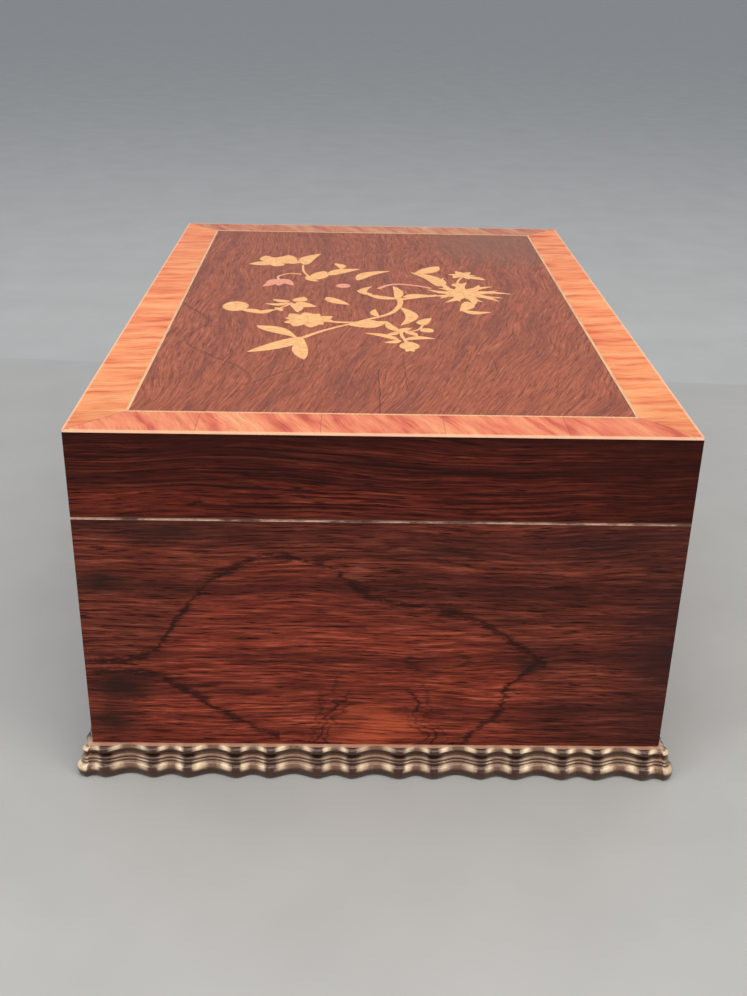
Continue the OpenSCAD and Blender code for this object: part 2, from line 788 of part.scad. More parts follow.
module lever_grip() {
    color("gold") translate([hub_x0 + hub_l / 2, barrel_y, axis_z]) rotate([lever_lean, 0, 0])
        translate([0, lever_length - 4, 0]) rotate([-90, 0, 0]) rotate_extrude()
            polygon([
                [0, 0], [4, 0], [4.6, 0.8], [3, 1.8], [3.4, 3], [4.8, 5.2],
                [4.9, 7], [4, 8.8], [2.2, 9.8], [0, 10]]);
}

ratchet_r = 13;
ratchet_teeth = 24;

module ratchet_wheel() {
    color("silver") x_plate(ratchet_x, ratchet_t) translate([barrel_y, axis_z]) difference() {
        polygon([for (i = [0:ratchet_teeth - 1], p = [0, 1])
            let (a = 360 / ratchet_teeth * (i + p * 0.12), r = ratchet_r - 2 * (1 - p))
            [r * cos(a), r * sin(a)]]);
        circle(r = arbor_r);
    }
}

barrel_bore = 5;

module barrel_arbor() {
    color("silver") {
        difference() {
            x_rod(hub_x0 - 3, ratchet_x + ratchet_t, arbor_r, barrel_y, axis_z);
            x_rod(ratchet_x, ratchet_x + ratchet_t + 1, arbor_r + 1, barrel_y, axis_z);
        }
        x_rod(ratchet_x, ratchet_x + ratchet_t, arbor_r - 0.01, barrel_y, axis_z);
        x_rod(ratchet_x + ratchet_t, centre_x + bridge_t - 0.5, arbor_r, barrel_y, axis_z);
        x_rod(barrel_x0 - 2, great_x + great_t + 1, barrel_bore, barrel_y, axis_z);
    }
}

// The click that holds the ratchet, on a post in the barrel bridge
click_angle = 62;
click_post_r = 1.8;
click_reach = 19;
click_y = barrel_y + click_reach * cos(click_angle);
click_z = axis_z + click_reach * sin(click_angle);
nose_angle = click_angle + 32;
nose_r = ratchet_r + 0.5;

module click() {
    nose = [barrel_y + nose_r * cos(nose_angle), axis_z + nose_r * sin(nose_angle)];
    along = nose - [click_y, click_z];
    reach = norm(along);
    color("silver") x_plate(ratchet_x, ratchet_t) difference() {
        union() {
            translate([click_y, click_z]) circle(r = 3.2);
            translate([click_y, click_z]) rotate(atan2(along[1], along[0]))
                polygon([[0, 1.6], [reach - 1.5, 0.9], [reach, 0.2], [reach - 0.6, -1.4], [0, -2.6]]);
        }
        translate([click_y, click_z]) circle(r = click_post_r + running_gap);
    }
}

module click_spring() {
    color("steelblue") {
        x_rod(ratchet_x - 0.6, barrel_bridge_x, click_post_r, click_y, click_z);
        x_plate(barrel_bridge_x, bridge_t) polygon([
            [barrel_y - 3, axis_z + 12.5], [click_y + 5, axis_z + 12.5],
            [click_y + 5, click_z + 6.4], [click_y - 5, click_z + 6.4]]);
        x_plate(ratchet_x + 0.4, 1.4) polygon([
            [click_y - 10, click_z + 1.4], [click_y - 9.6, click_z + 0.8], [click_y + 0.4, click_z + 3.6],
            [click_y + 3.4, click_z + 4.2], [click_y + 3.4, click_z + 5.2], [click_y + 0.2, click_z + 4.4]]);
        x_rod(ratchet_x + 0.5, barrel_bridge_x, 1.1, click_y + 3.4, click_z + 4.8);
    }
}

barrel_r = barrel_diameter / 2;
barrel_wall = 1.8;

module spring_barrel() {
    color("gold") difference() {
        x_rod(barrel_x0 + 2, great_x, barrel_r, barrel_y, axis_z);
        x_rod(barrel_x0, great_x + 1, barrel_r - barrel_wall, barrel_y, axis_z);
    }
}

module barrel_cover() {
    color("gold") difference() {
        x_rod(barrel_x0, barrel_x0 + 2, barrel_r, barrel_y, axis_z);
        x_rod(barrel_x0 - 1, barrel_x0 + 3, barrel_bore + running_gap, barrel_y, axis_z);
    }
}

module great_wheel() {
    color("gold") x_plate(great_x, great_t) translate([barrel_y, axis_z])
        gear(great_teeth, great_module, 180, barrel_bore + running_gap);
}

// Spiral of the mainspring, drawn as a band between two spirals
spring_t = 0.7;
spring_pitch = 1.55;
spring_turns = 7;
spring_step = 15;
spring_in = barrel_bore + 0.6;
spring_out = barrel_r - barrel_wall - 0.2;
function spring_point(a, out) =
    let (r = min(spring_in + spring_pitch * a / 360 + out, spring_out)) [r * cos(a), r * sin(a)];

module mainspring() {
    last = spring_turns * 360;
    color("steelblue") x_plate(barrel_x0 + 4, barrel_l - 6) translate([barrel_y, axis_z]) polygon(concat(
        [for (a = [0:spring_step:last]) spring_point(a, 0)],
        [for (a = [last:-spring_step:0]) spring_point(a, spring_t)]));
}

// ---------- cylinder ----------

module cylinder_arbor() {
    color("silver") {
        x_rod(great_x - 1.5, wheel_x + wheel_t + 3, arbor_r, cyl_y, axis_z);
        x_rod(wheel_x + wheel_t + 3, end_x + 5, journal_r, cyl_y, axis_z);
        x_plate(great_x - 0.5, great_t + 1) translate([cyl_y, axis_z])
            gear(pinion_teeth, great_module, 180 / pinion_teeth, arbor_r - 0.2);
        x_rod(great_x - 0.5, great_x + great_t + 0.5, arbor_r + 0.1, cyl_y, axis_z);
    }
}

// The snail stands across the wheel, in a slot, and its edge sets the cylinder's place
snail_up = 12;
snail_x = wheel_x + wheel_t / 2;
snail_t = 1.6;
star_t = 1;
snail_r = 4.2;
snail_steps = 6;
snail_z = axis_z + snail_up;
snail_post_r = 0.9;
ear_t = 1.2;
snail_free = 0.6;
snail_room = snail_r + tune_step * snail_steps + 1;

module cylinder_wheel() {
    color("gold") {
        x_plate(wheel_x, wheel_t) translate([cyl_y, axis_z]) difference() {
            gear(wheel_teeth, wheel_module, first_angle, arbor_r + 0.01);
            translate([-snail_room, snail_up - snail_free])
                square([2 * snail_room, snail_t + star_t + 2 * snail_free]);
            for (a = [172:45:352]) rotate(a) translate([15, 0]) circle(r = 4.6);
        }
        // ears that carry the snail's post
        for (z = [snail_z - snail_free - ear_t, snail_z + snail_t + star_t + snail_free])
            box([wheel_x - 1.6, cyl_y - 2, z], [wheel_x + wheel_t + 1.6, cyl_y + 2, z + ear_t]);
        translate([snail_x, cyl_y, snail_z - 1]) cylinder(h = snail_t + star_t + 2, r = snail_post_r);
    }
}

module snail_cam() {
    color("silver") translate([snail_x, cyl_y, snail_z]) difference() {
        union() {
            // the edge towards the cylinder is 180 degrees; it grows a step every 60
            linear_extrude(snail_t) polygon([for (k = [0:snail_steps - 1], e = [0, 0.5, 0.999])
                let (a = 210 - 60 * (k + e), r = snail_r + tune_step * k) [r * cos(a), r * sin(a)]]);
            translate([0, 0, snail_t]) linear_extrude(star_t)
                polygon([for (k = [0:snail_steps - 1], e = [0, 0.5])
                    let (a = 60 * (k + e), r = snail_r + (e == 0 ? 1.4 : -1)) [r * cos(a), r * sin(a)]]);
        }
        translate([0, 0, -1]) cylinder(h = snail_t + star_t + 2, r = snail_post_r + running_gap);
    }
}

drum_wall = 1.2;
cap_t = 2;

module cylinder_drum() {
    color("gold") {
        difference() {
            x_rod(cyl_x0, cyl_x1, cyl_r, cyl_y, axis_z);
            x_rod(cyl_x0 + cap_t, cyl_x1 - cap_t, cyl_r - drum_wall, cyl_y, axis_z);
            x_rod(cyl_x0 - 1, cyl_x1 + 1, arbor_r + running_gap, cyl_y, axis_z);
        }
        // the pin that rests on the snail
        x_rod(cyl_x1 - 0.5, snail_x - snail_r - 0.25, 0.8, cyl_y, snail_z + snail_t / 2);
    }
}

module cylinder_filling() {
    color("dimgray") difference() {
        x_rod(cyl_x0 + cap_t + 0.02, cyl_x1 - cap_t - 0.02, cyl_r - drum_wall - 0.02, cyl_y, axis_z);
        x_rod(cyl_x0, cyl_x1, arbor_r + running_gap, cyl_y, axis_z);
    }
}

// ---------- governor ----------

gov_journal = 1;
worm_r = 1.7;
worm_core = 1.2;
worm_tip = 2.1;
worm_pitch = PI * fine_module;
worm_y = second_y + worm_teeth * fine_module / 2 + worm_r;
worm_wheel_t = 1.6;
first_wheel_x = gov_x + cheek_t + 1;
first_wheel_t = 1.5;
worm_wheel_x = first_wheel_x + 4;
worm_x = worm_wheel_x + worm_wheel_t / 2;
gov_x1 = worm_wheel_x + worm_wheel_t + 2.6;
gov_top = z_glass - 6;
cock_t = 3;
fly_z = second_z + 12;
fly_h = 8;
fly_r = 7;

// Train phases: a tooth of each driver points at the pinion it drives
first_phase = first_angle + 180 + 180 / first_pinion;
second_phase = second_angle + 180 + 180 / second_pinion;

module first_wheel() {
    color("gold") {
        x_rod(wheel_x - 0.5, gov_x1 + cheek_t, gov_journal, first_y, first_z);
        x_plate(wheel_x - 0.5, wheel_t + 1) translate([first_y, first_z])
            gear(first_pinion, wheel_module, first_phase, gov_journal - 0.2);
        x_plate(first_wheel_x, first_wheel_t) translate([first_y, first_z]) difference() {
            gear(first_teeth, fine_module, second_angle, gov_journal - 0.2);
            for (a = [30:72:359]) rotate(a) translate([7.8, 0]) circle(r = 3);
        }
        x_rod(first_wheel_x - 0.6, first_wheel_x + first_wheel_t + 0.6, 2.6, first_y, first_z);
    }
}

module second_wheel() {
    color("gold") {
        x_rod(gov_x, gov_x1 + cheek_t, gov_journal, second_y, second_z);
        x_plate(first_wheel_x - 0.5, first_wheel_t + 1) translate([second_y, second_z])
            gear(second_pinion, fine_module, second_phase, gov_journal - 0.2);
        x_plate(worm_wheel_x, worm_wheel_t) translate([second_y, second_z])
            gear(worm_teeth, fine_module, 0, gov_journal - 0.2);
    }
}

module governor_frame() {
    low = first_y - 6;
    high = worm_y + fly_r + 4;
    color("gold") difference() {
        union() {
            box([gov_x, low, z_plate], [gov_x1 + cheek_t, high, z_plate + 3]);
            for (x = [gov_x, gov_x1]) x_plate(x, cheek_t) {
                polygon([
                    [low, z_plate], [second_y + 5, z_plate], [second_y + 5, second_z], [low, first_z + 5]]);
                translate([second_y, second_z]) circle(r = 5);
                translate([first_y, first_z]) circle(r = 6);
            }
            box([gov_x + cheek_t, high - 3, z_plate], [gov_x1 + cheek_t, high, gov_top]);
            box([worm_x - 3, worm_y - 2.5, gov_top - cock_t], [worm_x + 3, high, gov_top]);
            translate([worm_x, worm_y, gov_top - cock_t]) cylinder(h = cock_t + 1.2, r = 3.4);
            translate([worm_x, worm_y, z_plate]) cylinder(h = 7, r = 2.8);
        }
        for (x = [gov_x, gov_x1]) {
            x_rod(x - 1, x + cheek_t + 1, gov_journal + running_gap, first_y, first_z);
            x_rod(x - 1, x + cheek_t + 1, gov_journal + running_gap, second_y, second_z);
        }
        translate([worm_x, worm_y, z_plate + 4]) cylinder(h = 4, r = 0.6 + running_gap);
        translate([worm_x, worm_y, gov_top - cock_t - 1]) cylinder(h = 3, r = 0.6 + running_gap);
    }
}

// Thread of the endless screw: a strip wound on its core, right-handed
thread_steps = 14;
thread_turns = 6;
function thread_ring(i) =
    let (a = 360 * i / thread_steps, z = worm_pitch * (i / thread_steps - thread_turns / 2))
    [for (p = [[worm_core - 0.15, -0.33], [worm_tip, -0.12], [worm_tip, 0.12], [worm_core - 0.15, 0.33]])
        [p[0] * cos(a), p[0] * sin(a), z + p[1]]];

module thread() {
    rings = thread_steps * thread_turns;
    polyhedron(
        points = [for (i = [0:rings], p = thread_ring(i)) p],
        faces = concat([[3, 2, 1, 0]], [[for (k = [0:3]) 4 * rings + k]],
            [for (i = [0:rings - 1], k = [0:3]) let (a = 4 * i + k, b = 4 * i + (k + 1) % 4)
                each [[a, b, b + 4], [a, b + 4, a + 4]]]));
}

module fly() {
    color("silver") translate([worm_x, worm_y, 0]) {
        translate([0, 0, z_plate + 4.4]) cylinder(h = 3, r = 0.6);
        translate([0, 0, z_plate + 7.3]) cylinder(h = gov_top - cock_t - z_plate - 7.6, r = worm_core);
        translate([0, 0, gov_top - cock_t - 0.4]) cylinder(h = 2, r = 0.6);
        // a thread gap faces the worm wheel's tooth, which points along +Y from its arbor
        translate([0, 0, second_z]) rotate(90) thread();
        for (s = [0, 180]) rotate(s) box([0.6, -0.15, fly_z], [fly_r, 0.15, fly_z + fly_h]);
        translate([0, 0, fly_z - 0.6]) cylinder(h = fly_h + 1.2, r = 1.7);
    }
}

// ---------- controls ----------

// Change lever and start lever: pivot place, height, and where the inner end points
control_x = gov_x1 + cheek_t + 2.3;
change_y = -34;
change_z = axis_z - 1;
start_y = first_y - 10.2;
start_z = fly_z + 3;
control_t = 2;
control_post_r = 2;
control_cap_r = 3.4;
control_reach = in_l - 8 - control_x;
pad_top = z_glass + 2;
pad_r = 4.5;
slot_half = 12;

module control_post(y, z) {
    translate([control_x, y, z_plate]) {
        cylinder(h = z - z_plate - 0.2, r = 2.5);
        cylinder(h = z - z_plate + control_t + 0.3, r = control_post_r);
        translate([0, 0, z - z_plate + control_t + 0.2]) cylinder(h = 1.4, r = control_cap_r);
    }
}

module control_pivots() {
    color("steelblue") {
        control_post(change_y, change_z);
        control_post(start_y, start_z);
    }
}

// A flat lever with a turned-up finger pad in the control bay; its other end points at target
module control_lever(y, z, target, short) {
    to = target - [control_x, y];
    inner = norm(to) - short;
    translate([control_x, y, z]) difference() {
        union() {
            linear_extrude(control_t) {
                circle(r = 4.6);
                translate([0, -3]) square([control_reach, 6]);
                rotate(atan2(to[1], to[0])) translate([0, -1.6]) square([inner, 3.2]);
            }
            box([control_reach - 2, -3, 0], [control_reach, 3, pad_top - pad_r - z]);
            x_rod(control_reach - 2.5, control_reach + 0.5, pad_r, 0, pad_top - pad_r - z);
        }
        translate([0, 0, -1]) cylinder(h = control_t + 2, r = control_post_r + running_gap);
    }
}

module start_lever() {
    color("gold") control_lever(start_y, start_z, [worm_x, worm_y], fly_r + 1.2);
}

module change_lever() {
    color("gold") control_lever(change_y, change_z, [snail_x + 6, cyl_y - snail_up - 9], 0);
}

// ---------- nodes ----------

base_board();
ripple_plinth();
front_wall();
back_wall();
left_wall();
right_wall();
case_edging();
lever_partition();
control_partition();
glass_ledge();
glass_pins();
movement_screws();
bedplate_feet();
bedplate();
barrel_bridge();
centre_bridge();
end_bridge();
bridge_screws();
comb_base();
comb();
comb_screws();
click_spring();
governor_frame();
control_pivots();
case_lock();
lock_bolt();
escutcheon();
case_hinge_leaves();
lid_panel();
lid_frame();
crossbanding();
lid_stringing();
field_veneer();
marquetry_spray();
lid_edging();
tune_card();
card_tacks();
lock_loops();
lid_hinge_leaves();
glass_frame();
glass_pane();
glass_pull();
winding_lever();
lever_grip();
barrel_arbor();
ratchet_wheel();
click();
spring_barrel();
barrel_cover();
great_wheel();
mainspring();
cylinder_arbor();
cylinder_wheel();
cylinder_drum();
cylinder_filling();
snail_cam();
first_wheel();
second_wheel();
fly();
start_lever();
change_lever();
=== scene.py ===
import bpy
import math
import random
from mathutils import Matrix, Vector


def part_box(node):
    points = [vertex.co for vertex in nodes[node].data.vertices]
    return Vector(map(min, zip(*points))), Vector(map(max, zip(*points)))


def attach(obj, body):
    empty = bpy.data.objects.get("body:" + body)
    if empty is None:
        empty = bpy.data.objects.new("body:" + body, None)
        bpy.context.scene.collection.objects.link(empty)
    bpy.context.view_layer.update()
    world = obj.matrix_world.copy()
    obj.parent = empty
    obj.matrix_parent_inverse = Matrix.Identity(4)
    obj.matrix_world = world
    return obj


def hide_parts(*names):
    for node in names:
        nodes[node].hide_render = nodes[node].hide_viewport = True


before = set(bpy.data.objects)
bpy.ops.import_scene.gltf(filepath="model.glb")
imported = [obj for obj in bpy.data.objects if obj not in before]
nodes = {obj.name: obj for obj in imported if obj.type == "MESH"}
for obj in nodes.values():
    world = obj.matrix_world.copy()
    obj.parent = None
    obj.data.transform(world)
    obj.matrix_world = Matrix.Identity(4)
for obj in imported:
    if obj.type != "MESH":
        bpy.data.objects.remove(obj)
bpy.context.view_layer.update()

MM = 0.001


# ---------------------------------------------------------------- rippled plinth
# A dark polished rosewood moulding, planed in a waving-engine so that its beads
# ripple in long and short hollows, mitred round the foot of the case and glued on.

def put(tree, kind, values=None, **settings):
    """Adds one shader node; a value that is a socket is linked, any other is set."""
    node = tree.nodes.new("ShaderNode" + kind)
    for key, value in settings.items():
        setattr(node, key, value)
    for key, value in (values or {}).items():
        if isinstance(value, bpy.types.NodeSocket):
            tree.links.new(value, node.inputs[key])
        else:
            node.inputs[key].default_value = value
    return node


def calc(tree, operation, a, b=0.0, c=0.0, clamp=False):
    node = put(tree, "Math", {0: a, 1: b, 2: c}, operation=operation, use_clamp=clamp)
    return node.outputs[0]


def plus(tree, a, b):
    return calc(tree, "ADD", a, b)


def minus(tree, a, b, clamp=False):
    return calc(tree, "SUBTRACT", a, b, clamp=clamp)


def times(tree, first, *others):
    for other in others:
        first = calc(tree, "MULTIPLY", first, other)
    return first


def above(tree, value, limit):
    return calc(tree, "GREATER_THAN", value, limit)


def below(tree, value, limit):
    return calc(tree, "LESS_THAN", value, limit)


def largest(tree, first, *others):
    for other in others:
        first = calc(tree, "MAXIMUM", first, other)
    return first


def span(tree, value, low, high, first, last):
    """Runs evenly from first to last while the value goes from low to high, and stays there."""
    return put(tree, "MapRange", {0: value, 1: low, 2: high, 3: first, 4: last}).outputs[0]


def either(tree, switch, off, on):
    return put(tree, "Mix", {0: switch, 2: off, 3: on}, data_type="FLOAT").outputs[0]


def blend(tree, amount, a, b, how="MIX"):
    node = put(tree, "Mix", {0: amount, 6: a, 7: b}, data_type="RGBA", blend_type=how)
    return node.outputs[2]


def ramp(tree, value, *stops):
    """A colour ramp; each stop is a place and a colour, or a place and a grey level."""
    node = put(tree, "ValToRGB", {0: value})
    elements = node.color_ramp.elements
    while len(elements) < len(stops):
        elements.new(0.5)
    for element, (place, colour) in zip(elements, stops):
        if isinstance(colour, (int, float)):
            colour = (colour, colour, colour)
        element.position = place
        element.color = (*colour, 1)
    return node.outputs[0]


def place_mm(tree):
    """The place on the object in millimetres: its X, Y and Z sockets."""
    where = put(tree, "TexCoord").outputs["Object"]
    big = put(tree, "VectorMath", {0: where, 3: 1000.0}, operation="SCALE").outputs[0]
    return put(tree, "SeparateXYZ", {0: big}).outputs


def noise(tree, *axes, scale=1.0, detail=2.0, rough=0.5):
    """Noise over three axes; an axis is a value, or a value and the factor that packs it."""
    spots = [times(tree, *axis) if isinstance(axis, tuple) else axis for axis in axes]
    where = put(tree, "CombineXYZ", dict(enumerate(spots))).outputs[0]
    node = put(tree, "TexNoise", {"Vector": where, "Scale": scale, "Detail": detail, "Roughness": rough})
    return node.outputs[0]


def facing(tree):
    """One where the surface looks along X, and how far it looks up."""
    turn = put(tree, "SeparateXYZ", {0: put(tree, "TexCoord").outputs["Normal"]}).outputs
    return above(tree, calc(tree, "ABSOLUTE", turn[0]), 0.5), turn[2]


def new_finish(name, **constants):
    """A material with its constant values on the shader's own sockets."""
    material = bpy.data.materials.new(name)
    material.use_nodes = True
    shader = material.node_tree.nodes["Principled BSDF"]
    for key, value in constants.items():
        shader.inputs[key.replace("_", " ")].default_value = value
    return material, material.node_tree, shader


def bumped(tree, shader, height, strength, distance=0.0002):
    bump = put(tree, "Bump", {"Height": height, "Strength": strength, "Distance": distance})
    tree.links.new(bump.outputs[0], shader.inputs["Normal"])


def coloured(tree, shader, colour):
    tree.links.new(colour, shader.inputs["Base Color"])


def wear(piece, material):
    """Gives a carried-over or new piece one finish all over."""
    piece.data.materials.clear()
    piece.data.materials.append(material)


CASE_L, CASE_D = 320.0, 210.0
PLINTH_H, PLINTH_OUT = 12.0, 6.0
RIPPLE = 30.3                          # one long and one short hollow
LONG_HOLLOW = 18.0
LONG_DEEP, SHORT_DEEP = 2.7, 2.1
CORNER_BULB = 4.6                      # radius that the moulding is rounded to at a mitre
CORNER_SHARE = 0.45                    # share of hollow depth given to the rounded corners, which sets their painted highlight and sheen

# The section from the wall outwards and down: how far out, how high, and how much of
# the ripple it takes. A flat ledge, a small bead, a groove, a mid bead, a foot bead.
section = [
    (0.0, 12.0, 0.0), (1.0, 12.0, 0.0), (1.5, 11.85, 0.15), (2.3, 11.75, 0.5), (3.1, 11.4, 0.75),
    (3.65, 10.8, 0.85), (3.75, 10.1, 0.9), (3.4, 9.4, 0.9), (2.7, 9.0, 0.75), (2.1, 8.8, 0.6),
    (2.0, 8.5, 0.6), (2.6, 8.3, 0.7), (3.6, 8.1, 0.85), (4.1, 7.75, 0.9), (4.2, 7.25, 0.9),
    (4.05, 6.85, 0.9), (3.75, 6.65, 0.9), (4.0, 6.45, 0.9), (4.2, 6.1, 0.9), (4.0, 5.8, 0.9),
    (3.95, 5.65, 0.9), (4.5, 5.5, 0.95), (5.3, 5.05, 1.0), (5.8, 4.3, 1.0), (6.0, 3.3, 1.0),
    (6.0, 2.2, 1.0), (5.85, 1.2, 1.0), (5.5, 0.4, 1.0), (5.1, 0.0, 1.0), (0.0, 0.0, 0.0)]


def ripple_finish():
    """Dark polish, with pale cream highlights painted on the hollows' flanks, a golden-brown sheen painted
    in their beds, and painted shade, near black, in the groove and under the foot bead.
    """
    material, tree, shader = new_finish(
        "polished_ripple", Roughness=0.32, Specular_IOR_Level=0.45, Specular_Tint=(1.0, 0.74, 0.50, 1),
        Coat_Weight=0.8, Coat_Roughness=0.12, Coat_IOR=1.5)
    x, y, z = place_mm(tree)
    end_on, up = facing(tree)
    streak = noise(tree, (either(tree, end_on, x, y), 0.09), y, (z, 1.3), scale=0.8, detail=4, rough=0.6)
    patch = noise(tree, x, y, z, scale=0.045)
    wood = ramp(tree, streak, (0.3, (0.010, 0.003, 0.003)), (0.52, (0.045, 0.010, 0.006)),
                (0.75, (0.12, 0.028, 0.014)))
    wood = blend(tree, times(tree, patch, 0.75), wood, (0.02, 0.006, 0.005, 1))
    ledge = times(tree, above(tree, up, 0.93), above(tree, z, PLINTH_H - 0.2), 0.8)
    wood = blend(tree, ledge, wood, (0.52, 0.27, 0.19, 1))
    # the mesh says how deep each point lies in its hollow: nought on a crest, one in the bed
    planed = put(tree, "Attribute", attribute_name="planed").outputs["Fac"]
    blotch = minus(tree, noise(tree, x, y, z, scale=0.35, detail=3, rough=0.6), 0.5)
    planed = calc(tree, "MULTIPLY_ADD", blotch, 0.5, planed)
    height = calc(tree, "DIVIDE", z, PLINTH_H)
    # painted light: only the up-facing faces of the beads get the painted sheen and highlights below
    painted_light_faces = times(
        tree, ramp(tree, up, (0.02, 0.0), (0.30, 1.0), (0.86, 1.0), (0.96, 0.25)),
        ramp(tree, height, (0.10, 0.0), (0.19, 1.0), (0.74, 1.0), (0.78, 0.0), (0.84, 0.0), (0.88, 1.0)))
    # painted sheen: golden brown in the beds of the hollows
    bed = times(tree, ramp(tree, planed, (0.16, 0.0), (0.50, 1.0)), painted_light_faces, 0.55)
    wood = blend(tree, bed, wood, (0.26, 0.135, 0.085, 1))
    # painted highlights: pale cream on the flanks of the hollows, broken up by the patches
    flank_highlight = times(
        tree, ramp(tree, planed, (0.12, 0.0), (0.45, 1.0), (0.60, 0.9), (0.94, 0.0)), painted_light_faces,
        ramp(tree, patch, (0.30, 0.45), (0.55, 1.0)),
        ramp(tree, height, (0.44, 1.0), (0.49, 0.25), (0.70, 0.25), (0.76, 1.0)), 0.78)
    wood = blend(tree, flank_highlight, wood, (1.0, 0.78, 0.54, 1))
    # painted shade: near black under the foot bead and in the groove below the small bead
    groove = ramp(
        tree, height, (0.08, 1.0), (0.17, 0.0), (0.70, 0.0), (0.75, 1.0), (0.83, 1.0), (0.87, 0.0))
    coloured(tree, shader, blend(tree, times(tree, groove, 0.92), wood, (0.006, 0.002, 0.0015, 1)))
    bumped(tree, shader, streak, 0.05)
    return material


def ripple_depth(place, first):
    """How far the moulding is planed back here, and that as a share of its hollow's depth.

    Crests stand at first, and then after each hollow."""
    t = (place - first) % RIPPLE
    if t < LONG_HOLLOW:
        hollow, deep = LONG_HOLLOW, LONG_DEEP
    else:
        hollow, deep, t = RIPPLE - LONG_HOLLOW, SHORT_DEEP, t - LONG_HOLLOW
    share = math.sin(math.pi * t / hollow) ** 1.6
    return deep * share, share


def moulding_length(length, first):
    """Rows of points for one mitred length that lies along +X with its outside towards -Y."""
    steps = round(length / 1.2)
    places = [("corner", -k / 5) for k in range(5, 0, -1)]
    places += [("run", -1 + 2 * i / steps) for i in range(steps + 1)]
    places += [("corner", k / 5) for k in range(1, 6)]
    rows = []
    for kind, at in places:
        row = []
        for out, height, takes in section:
            r = CORNER_BULB * out / PLINTH_OUT
            if kind == "run":
                along = at * (length / 2 + out - r)
                depth, share = ripple_depth(along, first)
                away = out - takes * depth * min(1, (length / 2 + 3 - abs(along)) / 5)
            else:
                a = math.radians(45) * abs(at)
                along = math.copysign(length / 2 + out - r + r * math.sin(a), at)
                depth, share = ripple_depth(along, first)[0], CORNER_SHARE
                away = out - r + r * math.cos(a) - takes * depth * 0.1 * (1 - abs(at))
            row.append((along, -away, height, share))
        rows.append(row)
    return rows


def ripple_plinth():
    points, faces, planed = [], [], []
    wide = len(section)
    for turn, length, other, first in ((0, CASE_L, CASE_D, -6), (90, CASE_D, CASE_L, -70),
                                       (180, CASE_L, CASE_D, 3), (270, CASE_D, CASE_L, 12)):
        around = Matrix.Rotation(math.radians(turn), 4, "Z")
        rows = moulding_length(length, first)
        start = len(points)
        for along, away, height, share in [spot for row in rows for spot in row]:
            points.append(around @ Vector((along, away - other / 2, height)) * MM)
            planed.append(share)
        for i in range(len(rows) - 1):
            for k in range(wide - 1):
                a = start + i * wide + k
                faces.append((a, a + 1, a + wide + 1, a + wide))
    mesh = bpy.data.meshes.new("ripple_moulding")
    mesh.from_pydata(points, [], faces)
    mesh.attributes.new("planed", "FLOAT", "POINT").data.foreach_set("value", planed)
    piece = bpy.data.objects.new("ripple_moulding", mesh)
    bpy.context.scene.collection.objects.link(piece)
    bpy.ops.object.select_all(action="DESELECT")
    bpy.context.view_layer.objects.active = piece
    piece.select_set(True)
    bpy.ops.object.mode_set(mode="EDIT")
    bpy.ops.mesh.select_all(action="SELECT")
    bpy.ops.mesh.remove_doubles(threshold=0.02 * MM)
    bpy.ops.mesh.fill_holes(sides=0)
    bpy.ops.mesh.normals_make_consistent(inside=False)
    bpy.ops.object.mode_set(mode="OBJECT")
    bpy.ops.object.shade_smooth_by_angle(angle=math.radians(50))
    wear(piece, ripple_finish())
    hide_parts("ripple_plinth")
    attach(piece, "case")


ripple_plinth()


# ---------------------------------------------------------------- case walls and lid rails
# Four mitred walls and four lid rails of softwood, veneered outside in rosewood whose
# grain runs level round the box, with wild dark figure, and French polished.

def side_place(tree):
    """Along the grain, up, and a third value that differs from side to side."""
    x, y, z = place_mm(tree)
    end_on, _ = facing(tree)
    along = either(tree, end_on, x, y)
    through = either(tree, end_on, y, x)
    return along, z, calc(tree, "MULTIPLY_ADD", through, 0.13, times(tree, end_on, 40.0))


def rosewood_body(tree, along, across, third, wander_mm=16.0):
    """Colour, the streaks that the surface is rubbed along, and the wandering level of the grain."""
    wide = noise(tree, (along, 0.010), (across, 0.024), third)
    level = plus(tree, across, times(tree, minus(tree, wide, 0.5), wander_mm))
    bands = noise(tree, (along, 0.006), (level, 0.11), third, detail=4, rough=0.6)
    streaks = noise(tree, (along, 0.055), (level, 0.95), third, detail=4, rough=0.68)
    dashes = noise(tree, (along, 0.12), (level, 1.9), third, rough=0.6)
    wood = ramp(tree, streaks, (0.32, (0.022, 0.004, 0.003)), (0.45, (0.105, 0.020, 0.012)),
                (0.56, (0.175, 0.036, 0.021)), (0.70, (0.32, 0.085, 0.050)))
    dark = ramp(tree, bands, (0.40, 0.0), (0.66, 0.8))
    wood = blend(tree, dark, wood, (0.034, 0.0075, 0.0062, 1))
    pores = ramp(tree, dashes, (0.33, 0.95), (0.44, 0.0))
    wood = blend(tree, pores, wood, (0.010, 0.0025, 0.002, 1))
    return wood, streaks, level


def french_polish(name, specular, coat):
    return new_finish(
        name, Roughness=0.36, Specular_IOR_Level=specular, Coat_Weight=coat, Coat_Roughness=0.12)


def side_rosewood():
    material, tree, shader = french_polish("rosewood_sides", 0.14, 0.04)
    wood, streaks, _ = rosewood_body(tree, *side_place(tree))
    coloured(tree, shader, wood)
    bumped(tree, shader, streaks, 0.12)
    return material


def line_near(tree, gap, width):
    """One where a distance is nought, falling to nothing at the width."""
    return minus(tree, 1.0, calc(tree, "DIVIDE", calc(tree, "ABSOLUTE", gap), width), clamp=True)


def drawn_curve(tree, value, low, high, points, bottom, top):
    """A smooth drawn curve: value runs from low to high, the answer from bottom to top."""
    node = put(tree, "FloatCurve", {"Value": span(tree, value, low, high, 0.0, 1.0)})
    curve = node.mapping.curves[0]
    scaled = [((a - low) / (high - low), (b - bottom) / (top - bottom)) for a, b in points]
    curve.points[0].location = scaled[0]
    curve.points[1].location = scaled[-1]
    for spot in scaled[1:-1]:
        curve.points.new(*spot)
    node.mapping.update()
    return span(tree, node.outputs[0], 0.0, 1.0, bottom, top)


